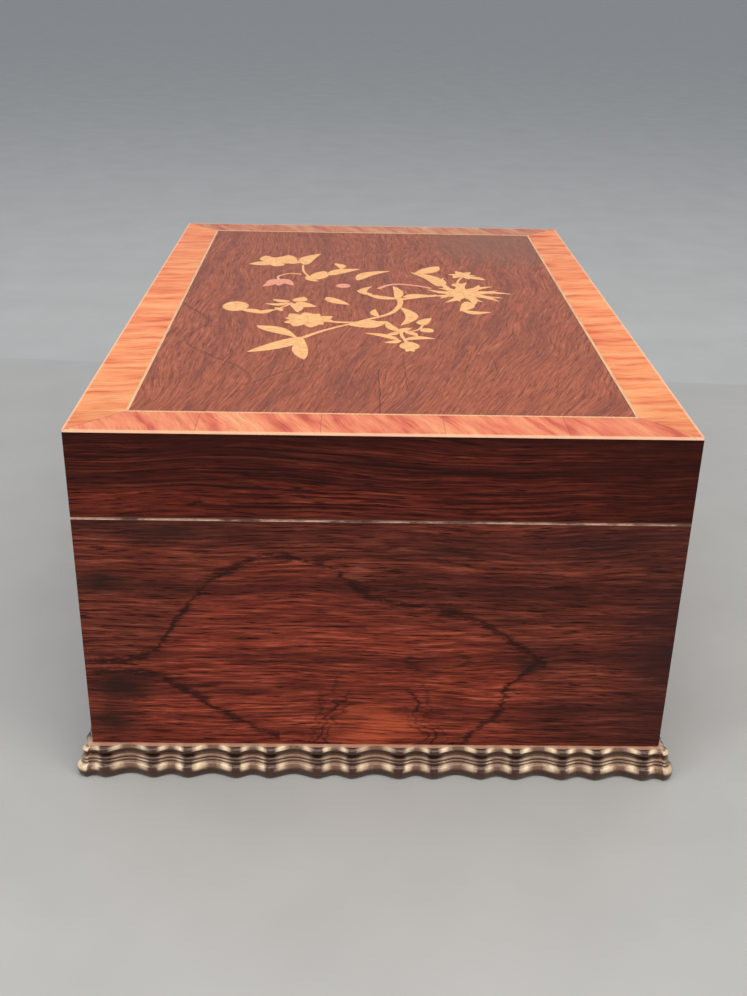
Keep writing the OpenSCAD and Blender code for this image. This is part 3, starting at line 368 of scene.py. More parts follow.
def far_from(tree, a, b, centre_a, centre_b, reach_a, reach_b):
    """Nought at the middle of an oval and one at its edge."""
    u = calc(tree, "DIVIDE", minus(tree, a, centre_a), reach_a)
    v = calc(tree, "DIVIDE", minus(tree, b, centre_b), reach_b)
    return calc(tree, "SQRT", plus(tree, times(tree, u, u), times(tree, v, v)))


# Dark clouds of the right-hand end: middle and reach along and up, strength, colour
END_CLOUDS = (
    (-93.0, 36.0, 17.0, 11.0, 0.9, (0.020, 0.008, 0.007, 1)),
    (-97.0, 22.0, 15.0, 11.0, 0.85, (0.018, 0.008, 0.006, 1)),
    (-97.0, 80.0, 16.0, 7.0, 0.7, (0.020, 0.009, 0.007, 1)),
    (56.0, 46.0, 12.0, 5.0, 0.8, (0.022, 0.008, 0.006, 1)),
    (-75.0, 99.0, 40.0, 7.0, 0.6, (0.025, 0.010, 0.008, 1)),
    (20.0, 92.0, 30.0, 5.0, 0.5, (0.028, 0.010, 0.008, 1)),
    (80.0, 95.0, 45.0, 14.0, 0.55, (0.026, 0.008, 0.008, 1)),
    (104.0, 50.0, 24.0, 60.0, 0.7, (0.028, 0.009, 0.009, 1)))


def end_rosewood():
    """The right-hand end: an arch of dark figure, a knot's eye under it, a fiery patch in torn rings."""
    material, tree, shader = french_polish("rosewood_right_end", 0.10, 0.03)
    along, across, third = side_place(tree)
    wood, streaks, _ = rosewood_body(tree, along, across, third, 9.0)
    ragged = noise(tree, (along, 0.09), (across, 0.55), 3.0, detail=5, rough=0.75)
    shake = times(tree, minus(tree, ragged, 0.5), 13.0)
    z = plus(tree, across, shake)
    heavy = noise(tree, (along, 0.07), (across, 0.09), 9.0, detail=3, rough=0.6)
    width = span(tree, heavy, 0.34, 0.64, 0.7, 3.6)
    arch = drawn_curve(tree, along, -105, 105, [
        (-105, 48), (-84, 50), (-71, 66), (-54, 84), (-36, 91), (-22, 88),
        (0, 74), (29, 68), (52, 54), (62, 47), (105, 40)], 0, 100)
    under = minus(tree, arch, z)
    redder = times(
        tree, span(tree, under, -5.0, 14.0, 0.0, 1.0), span(tree, along, 66.0, 46.0, 0.0, 1.0), 0.6)
    wood = blend(tree, redder, wood, blend(tree, 0.85, wood, (2.0, 1.55, 1.4, 1), "MULTIPLY"))
    # the arch, a line that falls to the foot on the left, one that falls back on the right, the eye
    arch_line = times(tree, line_near(tree, under, width), below(tree, along, 60.0))
    low = drawn_curve(tree, along, -105, -30, [
        (-105, 42), (-80, 42), (-70, 36), (-56, 26), (-42, 18), (-30, 13)], 0, 60)
    low_line = times(tree, line_near(tree, minus(tree, z, low), width), below(tree, along, -36.0))
    back = drawn_curve(tree, across, 12, 52, [
        (12, 31), (20, 37), (28, 45), (38, 47), (44, 53), (52, 60)], 0, 80)
    back_line = line_near(tree, plus(tree, minus(tree, along, back), shake), width)
    back_line = times(tree, back_line, below(tree, across, 51.0))
    eye = line_near(tree, minus(tree, far_from(tree, along, across, 21.0, 49.0, 15.0, 4.6), 0.75), 0.22)
    # torn rings either side of the fiery patch at the foot
    wobble = noise(tree, (along, 0.05), (across, 0.10), 21.0, detail=3, rough=0.6)
    pushed = calc(tree, "MULTIPLY_ADD", minus(tree, wobble, 0.5), 26.0, along)
    rings = far_from(tree, pushed, plus(tree, across, times(tree, shake, 0.9)), -1.0, 8.0, 17.0, 27.0)
    ring_lines = times(
        tree, line_near(tree, minus(tree, calc(tree, "FRACT", times(tree, rings, 4.6)), 0.5), 0.30),
        ramp(tree, times(tree, rings, 0.5), (0.38, 0.0), (0.44, 0.95), (0.66, 0.85), (0.78, 0.0)),
        ramp(tree, calc(tree, "DIVIDE", calc(tree, "ABSOLUTE", along), 40.0), (0.20, 0.0), (0.32, 1.0)))
    lines = largest(tree, arch_line, low_line, back_line, times(tree, eye, 0.55), ring_lines)
    broken = ramp(tree, ragged, (0.30, 0.35), (0.5, 1.0))
    lines = times(tree, ramp(tree, lines, (0.10, 0.0), (0.8, 1.0)), broken, 0.86)
    wood = blend(tree, lines, wood, (0.016, 0.0045, 0.0035, 1))
    for *oval, strength, colour in END_CLOUDS:
        cloud = minus(tree, 1.0, far_from(tree, along, z, *oval), clamp=True)
        cloud = calc(tree, "MULTIPLY", cloud, strength * 1.5, clamp=True)
        wood = blend(tree, times(tree, cloud, 0.85), wood, colour)
    fire = minus(tree, 1.0, far_from(tree, along, z, -1.0, 19.0, 21.0, 13.0), clamp=True)
    grained = ramp(tree, streaks, (0.36, 0.15), (0.6, 1.0))
    fire = calc(tree, "MULTIPLY", times(tree, fire, grained), 1.1, clamp=True)
    coloured(tree, shader, blend(tree, fire, wood, (0.50, 0.095, 0.040, 1)))
    bumped(tree, shader, streaks, 0.12)
    return material


def rail_rosewood():
    """Long flowing lines, darker under the top arris and towards the back corner of the right end."""
    material, tree, shader = french_polish("rosewood_rails", 0.10, 0.03)
    along, across, third = side_place(tree)
    wood, streaks, level = rosewood_body(tree, along, across, third, 12.0)
    lines = noise(tree, (along, 0.014), (level, 1.3), third, detail=3, rough=0.6)
    wood = blend(tree, ramp(tree, lines, (0.36, 0.9), (0.47, 0.0)), wood, (0.016, 0.004, 0.003, 1))
    wood = blend(tree, ramp(tree, lines, (0.56, 0.0), (0.72, 0.4)), wood, (0.26, 0.085, 0.055, 1))
    shade = largest(
        tree, span(tree, across, 127.0, 134.5, 0.12, 0.85), span(tree, along, 0.0, 100.0, 0.12, 0.75))
    wood = blend(tree, shade, wood, (0.022, 0.004, 0.003, 1))
    coloured(tree, shader, blend(tree, 1.0, wood, (0.86, 0.62, 0.56, 1), "MULTIPLY"))
    bumped(tree, shader, streaks, 0.12)
    return material


plain_rosewood = side_rosewood()
for name in ("front_wall", "back_wall", "left_wall"):
    wear(nodes[name], plain_rosewood)
wear(nodes["lid_frame"], rail_rosewood())
wear(nodes["right_wall"], end_rosewood())


# ---------------------------------------------------------------- light edging at the seam
# A hair-thin line of pale wood let into the two arrises where the lid meets the body,
# dirty and rubbed, so that it shows bright in some places and is almost lost in others.

def edging_finish():
    material, tree, shader = new_finish("worn_edging", Roughness=0.4, Specular_IOR_Level=0.3)
    x, y, z = place_mm(tree)
    dirt = noise(tree, x, y, (z, 3.0), scale=0.06, detail=4, rough=0.6)
    grain = noise(tree, x, y, (z, 9.0), scale=0.5)
    wood = ramp(tree, grain, (0.3, (0.50, 0.27, 0.18)), (0.7, (0.85, 0.60, 0.46)))
    clean = minus(tree, 1.0, ramp(tree, dirt, (0.42, 0.85), (0.56, 0.05)))
    body_arris = line_near(tree, minus(tree, z, 103.97), 0.30)
    lid_arris = times(tree, line_near(tree, minus(tree, z, 104.3), 0.26), 0.6)
    arris = ramp(tree, largest(tree, body_arris, lid_arris), (0.05, 0.0), (0.45, 1.0))
    dull = minus(tree, 1.0, times(tree, arris, clean))
    coloured(tree, shader, blend(tree, dull, wood, (0.075, 0.018, 0.012, 1)))
    bumped(tree, shader, grain, 0.1)
    return material


edging = edging_finish()
wear(nodes["case_edging"], edging)
wear(nodes["lid_edging"], edging)


# ---------------------------------------------------------------- crossbanding and stringing
# Salmon to orange tulipwood veneer laid round the lid in short lengths, its stripes
# running across the band, mitred at the corners, with a pale string inside it.

BAND_LENGTH = 41.0                     # length of one short piece of the banding


def tulipwood():
    material, tree, shader = new_finish("tulipwood_band", Roughness=0.40, Specular_IOR_Level=0.22)
    x, y, _ = place_mm(tree)
    from_end = minus(tree, CASE_L / 2, calc(tree, "ABSOLUTE", x))
    from_side = minus(tree, CASE_D / 2, calc(tree, "ABSOLUTE", y))
    end_band = below(tree, from_end, from_side)
    along = either(tree, end_band, x, y)
    across = either(tree, end_band, y, x)
    # each short length of veneer is cut from another part of the leaf
    step = calc(tree, "DIVIDE", plus(tree, along, 21.0), BAND_LENGTH)
    count = plus(tree, calc(tree, "FLOOR", step), times(tree, end_band, 31.0))
    length = put(tree, "TexWhiteNoise", {"W": count}, noise_dimensions="1D").outputs[0]
    stripe = calc(tree, "MULTIPLY_ADD", across, either(tree, end_band, 0.12, -0.45), along)
    wiggle = noise(tree, (across, 0.07), (along, 0.06), length)
    stripe = calc(tree, "MULTIPLY_ADD", wiggle, 5.0, stripe)
    broad = noise(tree, (stripe, 0.17), (across, 0.03), length, detail=3, rough=0.6)
    fine = noise(tree, (stripe, 1.1), (across, 0.09), end_band, detail=4, rough=0.68)
    orange = ramp(tree, broad, (0.30, (0.66, 0.13, 0.055)), (0.42, (0.90, 0.28, 0.11)),
                  (0.56, (1.0, 0.42, 0.18)), (0.75, (1.0, 0.52, 0.25)))
    pink = ramp(tree, broad, (0.30, (0.60, 0.11, 0.07)), (0.43, (0.86, 0.22, 0.125)),
                (0.58, (0.98, 0.36, 0.19)), (0.75, (1.0, 0.50, 0.26)))
    wood = blend(tree, end_band, orange, pink)
    shade = ramp(
        tree, fine, (0.30, (0.50, 0.34, 0.28)), (0.43, (0.90, 0.82, 0.78)), (0.6, (1.0, 1.0, 1.0)))
    wood = blend(tree, 0.8, wood, shade, "MULTIPLY")
    tint = ramp(
        tree, length, (0.0, (0.88, 0.76, 0.74)), (0.5, (0.92, 0.84, 0.80)), (1.0, (0.95, 0.88, 0.84)))
    wood = blend(tree, 1.0, wood, tint, "MULTIPLY")
    # the right-hand end has darkened a little, and the left-hand band has faded to brown
    wood = blend(tree, span(tree, x, 40.0, 145.0, 0.0, 1.0), wood, (0.86, 0.91, 0.92, 1), "MULTIPLY")
    left_band = times(tree, end_band, below(tree, x, 0.0))
    wood = blend(tree, left_band, wood, (0.66, 0.90, 0.98, 1), "MULTIPLY")
    gap = above(tree, calc(tree, "ABSOLUTE", minus(tree, calc(tree, "FRACT", step), 0.5)), 0.497)
    mitre = line_near(tree, minus(tree, from_end, from_side), 0.35)
    wood = blend(tree, times(tree, largest(tree, gap, mitre), 0.55), wood, (0.20, 0.05, 0.025, 1))
    # pale outer arrises of the band: partly wear, partly a painted highlight along the edge
    nearest = calc(tree, "MINIMUM", from_end, from_side)
    worn_and_lit_arris = minus(tree, 1.0, calc(tree, "DIVIDE", nearest, 0.9), clamp=True)
    coloured(tree, shader, blend(tree, times(tree, worn_and_lit_arris, 0.75), wood, (1.0, 0.66, 0.44, 1)))
    bumped(tree, shader, fine, 0.08)
    return material


wear(nodes["crossbanding"], tulipwood())


def pale_string():
    material, tree, shader = new_finish("pale_string", Roughness=0.38, Coat_Weight=0.35, Coat_Roughness=0.18)
    x, y, z = place_mm(tree)
    grain = noise(tree, (x, 0.10), y, z, scale=1.2, detail=3, rough=0.55)
    coloured(tree, shader, ramp(tree, grain, (0.3, (0.62, 0.32, 0.15)), (0.7, (0.86, 0.55, 0.28))))
    bumped(tree, shader, grain, 0.06)
    return material


wear(nodes["lid_stringing"], pale_string())


# ---------------------------------------------------------------- field of the lid
# One sheet of purple-brown rosewood veneer with its grain along the box, a few wild
# dark waves, hairline shrinkage cracks, and the spray of inlay let into it.

FIELD_Z = 135.90
EASED = 0.08                           # width of the eased arris round the field

# Shrinkage cracks: place across the lid, where each starts and ends along it, darkness
CRACKS = ((-1.0, 95.0, 141.0, 1.0), (9.0, 76.0, 118.0, 0.8), (-29.5, 72.0, 92.0, 0.9),
          (70.5, 44.0, 66.0, 0.9), (44.0, 84.0, 104.0, 0.7), (-66.0, 96.0, 118.0, 0.6))


def field_plate(low, high):
    """The sheet of veneer at its size and place, its upper arris eased."""
    bpy.ops.object.select_all(action="DESELECT")
    bpy.ops.mesh.primitive_cube_add(size=1, location=[(a + b) / 2 for a, b in zip(low, high)])
    piece = bpy.context.object
    piece.name = "lid_field"
    piece.scale = [b - a for a, b in zip(low, high)]
    bpy.ops.object.transform_apply(location=True, rotation=True, scale=True)
    bpy.ops.object.mode_set(mode="EDIT")
    bpy.ops.mesh.select_all(action="DESELECT")
    bpy.ops.object.mode_set(mode="OBJECT")
    for edge in piece.data.edges:
        edge.select = all(piece.data.vertices[i].co.z > high[2] - 0.05 * MM for i in edge.vertices)
    bpy.ops.object.mode_set(mode="EDIT")
    bpy.ops.mesh.select_mode(type="EDGE")
    bpy.ops.mesh.bevel(offset=EASED * MM, segments=3)
    bpy.ops.object.mode_set(mode="OBJECT")
    return piece


def field_finish():
    material, tree, shader = new_finish("field_rosewood", Roughness=0.42, Specular_IOR_Level=0.16)
    x, y, _ = place_mm(tree)
    # the grain lies along the box, and slants towards the back near the right-hand end
    lean = span(tree, plus(tree, y, times(tree, x, 0.5)), -20.0, 130.0, 0.0, 0.42)
    wave = noise(tree, (x, 0.014), (y, 0.018), 5.0, detail=1, rough=0.4)
    flow = calc(tree, "MULTIPLY_ADD", minus(tree, wave, 0.5), 22.0, calc(tree, "MULTIPLY_ADD", x, lean, y))
    bands = noise(tree, (x, 0.012), (flow, 0.13), 1.0, detail=4, rough=0.62)
    streaks = noise(tree, (x, 0.07), (flow, 0.85), 2.0, detail=4, rough=0.68)
    flecks = noise(tree, (x, 0.16), (flow, 1.5), 8.0, detail=3, rough=0.65)
    wood = ramp(tree, streaks, (0.30, (0.120, 0.026, 0.013)), (0.48, (0.31, 0.080, 0.041)),
                (0.62, (0.40, 0.115, 0.062)), (0.76, (0.56, 0.19, 0.11)))
    wood = blend(tree, ramp(tree, bands, (0.36, 0.62), (0.52, 0.0)), wood, (0.17, 0.046, 0.033, 1))
    wood = blend(tree, ramp(tree, flecks, (0.32, 0.75), (0.44, 0.0)), wood, (0.085, 0.022, 0.014, 1))
    wood = blend(tree, ramp(tree, flecks, (0.60, 0.0), (0.72, 0.45)), wood, (0.74, 0.33, 0.22, 1))
    # a grey bloom in the polish at the back left corner
    corner = plus(tree, calc(tree, "POWER", calc(tree, "DIVIDE", plus(tree, x, 122.0), 62.0), 2.0),
                  calc(tree, "POWER", calc(tree, "DIVIDE", minus(tree, y, 66.0), 42.0), 2.0))
    grey = times(tree, minus(tree, 1.0, corner, clamp=True), 0.55)
    wood = blend(tree, grey, wood, (0.20, 0.105, 0.075, 1))
    # a dark figure line that wanders across the front left part and turns back in a V
    figure = drawn_curve(tree, x, -10, 112, [
        (-10, -92), (10, -84), (35, -72), (60, -78), (80, -66), (96, -52), (112, -47)], -100, 0)
    ragged_y = calc(tree, "MULTIPLY_ADD", minus(tree, streaks, 0.5), 5.0, y)
    out = times(tree, line_near(tree, minus(tree, ragged_y, figure), 1.3), below(tree, x, 112.0))
    other = drawn_curve(tree, x, 88, 114, [(88, -22), (98, -36), (108, -44), (114, -50)], -60, 0)
    back = line_near(tree, minus(tree, y, other), 1.0)
    back = times(tree, back, above(tree, x, 88.0), below(tree, x, 114.0))
    wood = blend(tree, times(tree, largest(tree, out, back), 0.6), wood, (0.10, 0.025, 0.018, 1))
    cracks = 0.0
    for place, start, end, dark in CRACKS:
        drift = times(tree, minus(tree, noise(tree, (x, 0.12), place, 0.0), 0.5), 3.0)
        near = line_near(tree, minus(tree, plus(tree, y, drift), place), 0.32)
        crack = times(tree, near, above(tree, x, start), below(tree, x, end), dark)
        cracks = largest(tree, crack, cracks)
    coloured(tree, shader, blend(tree, times(tree, cracks, 0.85), wood, (0.035, 0.012, 0.008, 1)))
    bumped(tree, shader, minus(tree, streaks, cracks), 0.14)
    return material


low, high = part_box("field_veneer")
field = field_plate(low, (high[0], high[1], FIELD_Z * MM))
wear(field, field_finish())
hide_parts("field_veneer")
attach(field, "lid")


# ---------------------------------------------------------------- marquetry spray
# Leaves, buds, blooms and stems sawn from pale boxwood and sycamore, scorched in hot
# sand along their edges, and let into the field; a few petals are stained pink.

INLAY_LIFT = 0.02                      # how far the lowest sawn piece stands over the field
NEXT_LIFT = 0.00003                    # and each facet over the one before, so that none share a level
INLAY_DEEP = 0.6
RUN_SHARE = 0.98                       # a plain piece's tip stays well short of the next tone
PINK = 2                               # tone of a stained piece; a plain one is nought

inlay_points, inlay_faces, inlay_uv = [], [], []


def strip(left, right, tone):
    """One flat sawn piece between two edges that run from its base to its tip."""
    start = len(inlay_points)
    top = FIELD_Z + INLAY_LIFT + len(inlay_faces) * NEXT_LIFT
    for a, b in zip(left, right):
        for p in (a, b):
            inlay_points.append((p[0] * MM, p[1] * MM, top * MM))
    n = len(left)
    for i in range(n - 1):
        a = start + 2 * i
        inlay_faces.append((a, a + 1, a + 3, a + 2))
        u0, u1 = tone + RUN_SHARE * i / (n - 1), tone + RUN_SHARE * (i + 1) / (n - 1)
        inlay_uv.append([(u0, 0), (u0, 1), (u1, 1), (u1, 0)])


def leaf(base, tip, width, bend=0.1, full=0.8, tone=0):
    """A leaf or petal from its base to its tip.

    Bend bows it to one side, and a small full puts its widest part near the base."""
    dx, dy = tip[0] - base[0], tip[1] - base[1]
    left, right = [], []
    for i in range(15):
        t = i / 14
        half = width / 2 * math.sin(math.pi * t ** full) ** 0.8 / math.hypot(dx, dy) + 0.004
        centre = bend * math.sin(math.pi * t)
        for edge, v in ((left, centre + half), (right, centre - half)):
            edge.append((base[0] + t * dx - v * dy, base[1] + t * dy + v * dx))
    strip(left, right, tone)


def bud(x, y, r, tall=1.0, tone=0):
    """A round or oval piece; tall stretches it along X."""
    left, right = [], []
    for i in range(13):
        a = math.pi * i / 12
        for edge, way in ((left, 1), (right, -1)):
            edge.append((x - r * tall * math.cos(a), y + way * (r * math.sin(a) + 0.02)))
    strip(left, right, tone)


def bloom(x, y, petals, long, width, heart, turn=0, bend=0.05, full=0.5):
    """Petals of uneven length round a heart."""
    for i in range(petals):
        a = math.radians(turn + 360 * i / petals)
        far = long * (1.0, 0.84, 0.94)[i % 3]
        leaf((x, y), (x + far * math.cos(a), y + far * math.sin(a)), width, (bend, -bend)[i % 2], full)
    bud(x, y, heart)


def smoothed(p0, p1, p2, p3, t):
    """A place between p1 and p2 on the smooth curve through all four."""
    return tuple(
        0.5 * (2 * b + (c - a) * t + (2 * a - 5 * b + 4 * c - d) * t * t
               + (3 * b - a - 3 * c + d) * t ** 3)
        for a, b, c, d in zip(p0, p1, p2, p3))


def stem(points, wide, narrow, tone=0):
    """A sawn stem through its points, smoothed, wide at its base and narrow at its end."""
    fine = []
    for i in range(len(points) - 1):
        before, after = points[max(i - 1, 0)], points[min(i + 2, len(points) - 1)]
        fine += [smoothed(before, points[i], points[i + 1], after, k / 6) for k in range(6)]
    fine.append(points[-1])
    left, right = [], []
    for i, p in enumerate(fine):
        q, r = fine[max(i - 1, 0)], fine[min(i + 1, len(fine) - 1)]
        dx, dy = r[0] - q[0], r[1] - q[1]
        half = (wide + (narrow - wide) * i / (len(fine) - 1)) / 2 / math.hypot(dx, dy)
        left.append((p[0] - dy * half, p[1] + dx * half))
        right.append((p[0] + dy * half, p[1] - dx * half))
    strip(left, right, tone)


# The main stem from its cut foot, and the three leaves there
stem([(56, -31), (48, -25), (40, -17), (35, -11)], 2.4, 1.3)
stem([(36, -12), (30, -6), (24, 1), (18, 6), (10, 9), (2, 10.5), (-7, 10)], 1.6, 2.8)
leaf((55, -31), (75.5, -52), 8.2, 0.05)
leaf((56, -31), (84, -29.5), 6.2, -0.05, 1.2)
leaf((57, -33), (40, -51), 7.6, -0.08, 1.5)
# The tulip bud on the stem, and the thorn above it
leaf((37, -13), (31, 4), 8.5, -0.15, 1.0)
leaf((36, -10), (35, 2.5), 9.5, 0.1, 1.1)
leaf((24, 0), (12.5, -1), 3.4, 0.1)
# The round flower beside it
stem([(33, -8), (33.5, -15), (32, -22)], 1.8, 2.4)
bloom(30, -30, 10, 11.8, 6.6, 7.0, 8, 0.08, 1.1)
# The sprig out to the left: bud, small leaves and a head of four leaves
bud(11, -62.5, 5.8, 1.3)
leaf((16, -59), (22, -50), 5.5, 0.1)
leaf((21, -53), (15, -46), 4.6, -0.1)
stem([(20, -52), (17, -46), (10, -41), (4, -38)], 1.1, 1.3)
leaf((12, -45), (18, -42), 3.2)
leaf((4, -39), (6, -50), 4.0, 0.2)
leaf((2, -37), (-6, -33), 6.5, -0.1)
leaf((3, -36), (10, -27), 7.0, -0.12)
leaf((5, -38), (19, -35), 5.0, 0.1)
leaf((2, -39), (-1, -47), 4.0, 0.1)
leaf((-6, -23), (6, -12.5), 6.2, -0.06)
# The long leaf hanging from the stem's bend
leaf((9, 10.5), (37, 9.5), 5.4, 0.17, 0.9)
# The calyx where the main stem ends
leaf((-5, 10), (-13, -5), 5.0, 0.12)
leaf((-11, -5), (-26, -2), 4.0, 0.18)
leaf((-12, -2), (-19, -9), 3.4, 0.1)
leaf((-5, 9), (-27, 8), 4.4, -0.08)
leaf((-8, 12), (-12, 24), 5.0, 0.1)
# The great flower, its leaves and the little flower beyond it
stem([(-4, 11), (-8, 18), (-12, 28)], 2.2, 3.2)
for i in range(18):
    a = math.radians(10 + 20 * i)
    far = (20, 15, 18, 16.5)[i % 4] + 3 * math.sin(a)
    leaf((-16, 40), (-16 + far * math.cos(a), 40 + far * math.sin(a)), 4.6, (0.1, -0.1)[i % 2], 0.6)
bud(-16, 40, 6.5)
leaf((-28, 30), (-54, 17.5), 7.2, -0.14)
leaf((-28, 31), (-48, 24), 7.4, -0.10)
leaf((-50, 19), (-67, 32), 8.6, -0.05, 1.1)
leaf((-24, 35), (-44, 33), 3.0, 0.15)
stem([(-22, 42), (-34, 39), (-46, 42)], 1.2, 1.0)
bloom(-50, 42.5, 6, 8.2, 5.0, 2.6, 20)
leaf((-46, 45), (-41, 53), 4.6)
bud(-31, 39, 3.2)
leaf((-2, 41), (14, 36.5), 6.2, 0.1)
leaf((12, 37), (14.5, 50), 5.0, -0.22)
# The pink tendril over the calyx, and the loose pink petal
stem([(-22, 1), (-28, 5), (-31, 11), (-28, 20), (-24, 26)], 2.4, 1.8, PINK)
bud(-26.5, -15.5, 3.4, 1.1, PINK)
# The lily at the far left, and its stem
stem([(-34, -28), (-40, -31), (-52, -35), (-66, -36)], 1.4, 1.1)
leaf((-72, -48), (-66, -63), 8.2, 0.05, 1.1)
leaf((-70, -50), (-84, -56), 8.0, 0.1, 1.0)
leaf((-72, -47), (-86, -44), 8.6, -0.1, 1.0)
leaf((-70, -48), (-62, -50), 7.6, 0.0, 1.0)
leaf((-72, -44), (-70, -38), 7.0, 0.0, 1.0)
leaf((-68, -46), (-78, -40), 7.0, 0.0, 1.0)
bud(-74, -50, 6.6)
bud(-78, -45, 5.4)
leaf((-66, -35), (-90, -28), 7.6, 0.12)
leaf((-70, -20), (-58, -17), 4.6, 0.15)
leaf((-37, -29), (-54, -25), 8.6, 0.0, 0.9)
leaf((-46, -23), (-59, -7.5), 7.6, 0.12)
leaf((-37, -9), (-56, 7.5), 6.8, 0.16)
leaf((-34, -29), (-45, -33), 3.6, 0.1)
# The drooping flower under it, stained pink
stem([(-47, -36), (-48, -42), (-42, -47), (-36, -46)], 1.3, 1.0)
for tip in ((-23, -53), (-25, -46), (-26, -39), (-30, -52), (-31, -40)):
    leaf((-37, -46.5), tip, 5.0, 0.05, 0.9, PINK)
# The sprig low on the right: node, leaves, buds and the heart-shaped flower
stem([(44, 9), (46, 12), (42, 17), (35, 19)], 1.3, 1.1)
stem([(44, 9), (52, 9.5), (60, 11)], 1.6, 1.4)
leaf((46, 9), (31.5, 4), 4.0, 0.1)
leaf((47, 9), (40, 14), 4.2)
leaf((46, 8), (51, 3), 3.4)
leaf((46, 11), (52, 16), 3.6)
leaf((36, 19), (25, 23), 4.8, 0.1)
leaf((36, 19), (28, 18.5), 3.4)
leaf((41, 18), (46, 22.5), 6.0, 0.0, 0.9)
leaf((57.5, 8), (48.5, -5.5), 4.0, -0.1)
leaf((57, 10), (55, 23), 4.2, 0.15)
leaf((58, 9), (61, 2), 3.6, 0.1)
for side in (-1, 1):
    leaf((59.5, 12), (72.5, 12 + 1.5 * side), 6.4, -0.12 * side, 0.75)


def inlay_finish():
    """Pale wood, scorched along its edges and down the middle of each piece, or stained pink."""
    material, tree, shader = new_finish("inlaid_boxwood", Roughness=0.40, Specular_IOR_Level=0.22)
    run, side, _ = put(tree, "SeparateXYZ", {0: put(tree, "UVMap", uv_map="sawn").outputs[0]}).outputs
    x, y, z = place_mm(tree)
    grain = noise(tree, (x, 0.9), (y, 0.25), z, detail=3, rough=0.6)
    patch = noise(tree, x, y, z, scale=0.07)
    wood = ramp(
        tree, grain, (0.3, (0.66, 0.31, 0.12)), (0.55, (0.90, 0.49, 0.205)), (0.75, (0.98, 0.62, 0.29)))
    wood = blend(tree, ramp(tree, patch, (0.4, 0.0), (0.7, 0.5)), wood, (0.90, 0.44, 0.20, 1))
    pink = times(tree, above(tree, run, PINK - 0.5), 0.75)
    wood = blend(tree, pink, wood, (0.74, 0.27, 0.22, 1))
    edge = calc(tree, "ABSOLUTE", minus(tree, side, 0.5))
    wood = blend(tree, ramp(tree, edge, (0.40, 0.0), (0.5, 0.34)), wood, (0.50, 0.20, 0.08, 1))
    wood = blend(tree, ramp(tree, edge, (0.01, 0.30), (0.04, 0.0)), wood, (0.44, 0.17, 0.07, 1))
    coloured(tree, shader, wood)
    bumped(tree, shader, grain, 0.05)
    return material


mesh = bpy.data.meshes.new("marquetry_inlay")
mesh.from_pydata(inlay_points, [], inlay_faces)
layer = mesh.uv_layers.new(name="sawn")
for face, corners in zip(mesh.polygons, inlay_uv):
    for loop, corner in zip(face.loop_indices, corners):
        layer.data[loop].uv = corner
inlay = bpy.data.objects.new("marquetry_inlay", mesh)
bpy.context.scene.collection.objects.link(inlay)
bpy.ops.object.select_all(action="DESELECT")
bpy.context.view_layer.objects.active = inlay
inlay.select_set(True)
bpy.ops.object.mode_set(mode="EDIT")
bpy.ops.mesh.select_all(action="SELECT")
bpy.ops.mesh.extrude_region_move(TRANSFORM_OT_translate={"value": (0, 0, -INLAY_DEEP * MM)})
bpy.ops.mesh.select_all(action="SELECT")
bpy.ops.mesh.normals_make_consistent(inside=False)
bpy.ops.object.mode_set(mode="OBJECT")
wear(inlay, inlay_finish())
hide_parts("marquetry_spray")
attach(inlay, "lid")


# ---------------------------------------------------------------- softwood and stained wood
# The base board and the board of the lid are planed pine; the partitions, the ledge and
# the frame of the glass are hardwood stained nearly black and waxed.

def plain_wood(name, light, dark, rough, coat):
    material, tree, shader = new_finish(name, Roughness=rough, Coat_Weight=coat, Coat_Roughness=0.25)
    x, y, z = place_mm(tree)
    rings = noise(tree, (x, 0.012), (y, 0.14), (z, 0.14), detail=3)
    fine = noise(tree, (x, 0.08), y, z, scale=1.4, detail=3, rough=0.6)
    grain = plus(tree, times(tree, rings, 0.6), times(tree, fine, 0.4))
    coloured(tree, shader, ramp(tree, grain, (0.35, dark), (0.65, light)))
    bumped(tree, shader, fine, 0.2)
    return material


pine = plain_wood("planed_pine", (0.46, 0.25, 0.12), (0.30, 0.14, 0.06), 0.65, 0.0)
for name in ("base_board", "lid_panel"):
    wear(nodes[name], pine)
stained = plain_wood("stained_hardwood", (0.055, 0.022, 0.013), (0.02, 0.008, 0.005), 0.4, 0.3)
for name in ("lever_partition", "control_partition", "glass_ledge", "glass_frame"):
    wear(nodes[name], stained)


# ---------------------------------------------------------------- brass and steel of the movement
# Plates, bridges, barrel, wheels, levers and fittings of lacquered brass; arbors, comb
# and fly of polished steel; screws and the click's spring blued over a flame.

def metal(name, colour, second, rough, brushing, bump):
    """Two shades in clouds; brushing packs the marks along X, Y and Z."""
    material, tree, shader = new_finish(name, Metallic=1.0)
    x, y, z = place_mm(tree)
    brushed = noise(tree, *zip((x, y, z), brushing), detail=3, rough=0.6)
    cloud = noise(tree, x, y, z, scale=0.06, detail=3, rough=0.6)
    clouded = ramp(tree, cloud, (0.35, 0.0), (0.7, 1.0))
    coloured(tree, shader, blend(tree, clouded, (*colour, 1), (*second, 1)))
    tree.links.new(span(tree, brushed, 0.3, 0.7, rough * 0.7, rough * 1.4), shader.inputs["Roughness"])
    bumped(tree, shader, brushed, bump, 0.00005)
    return material


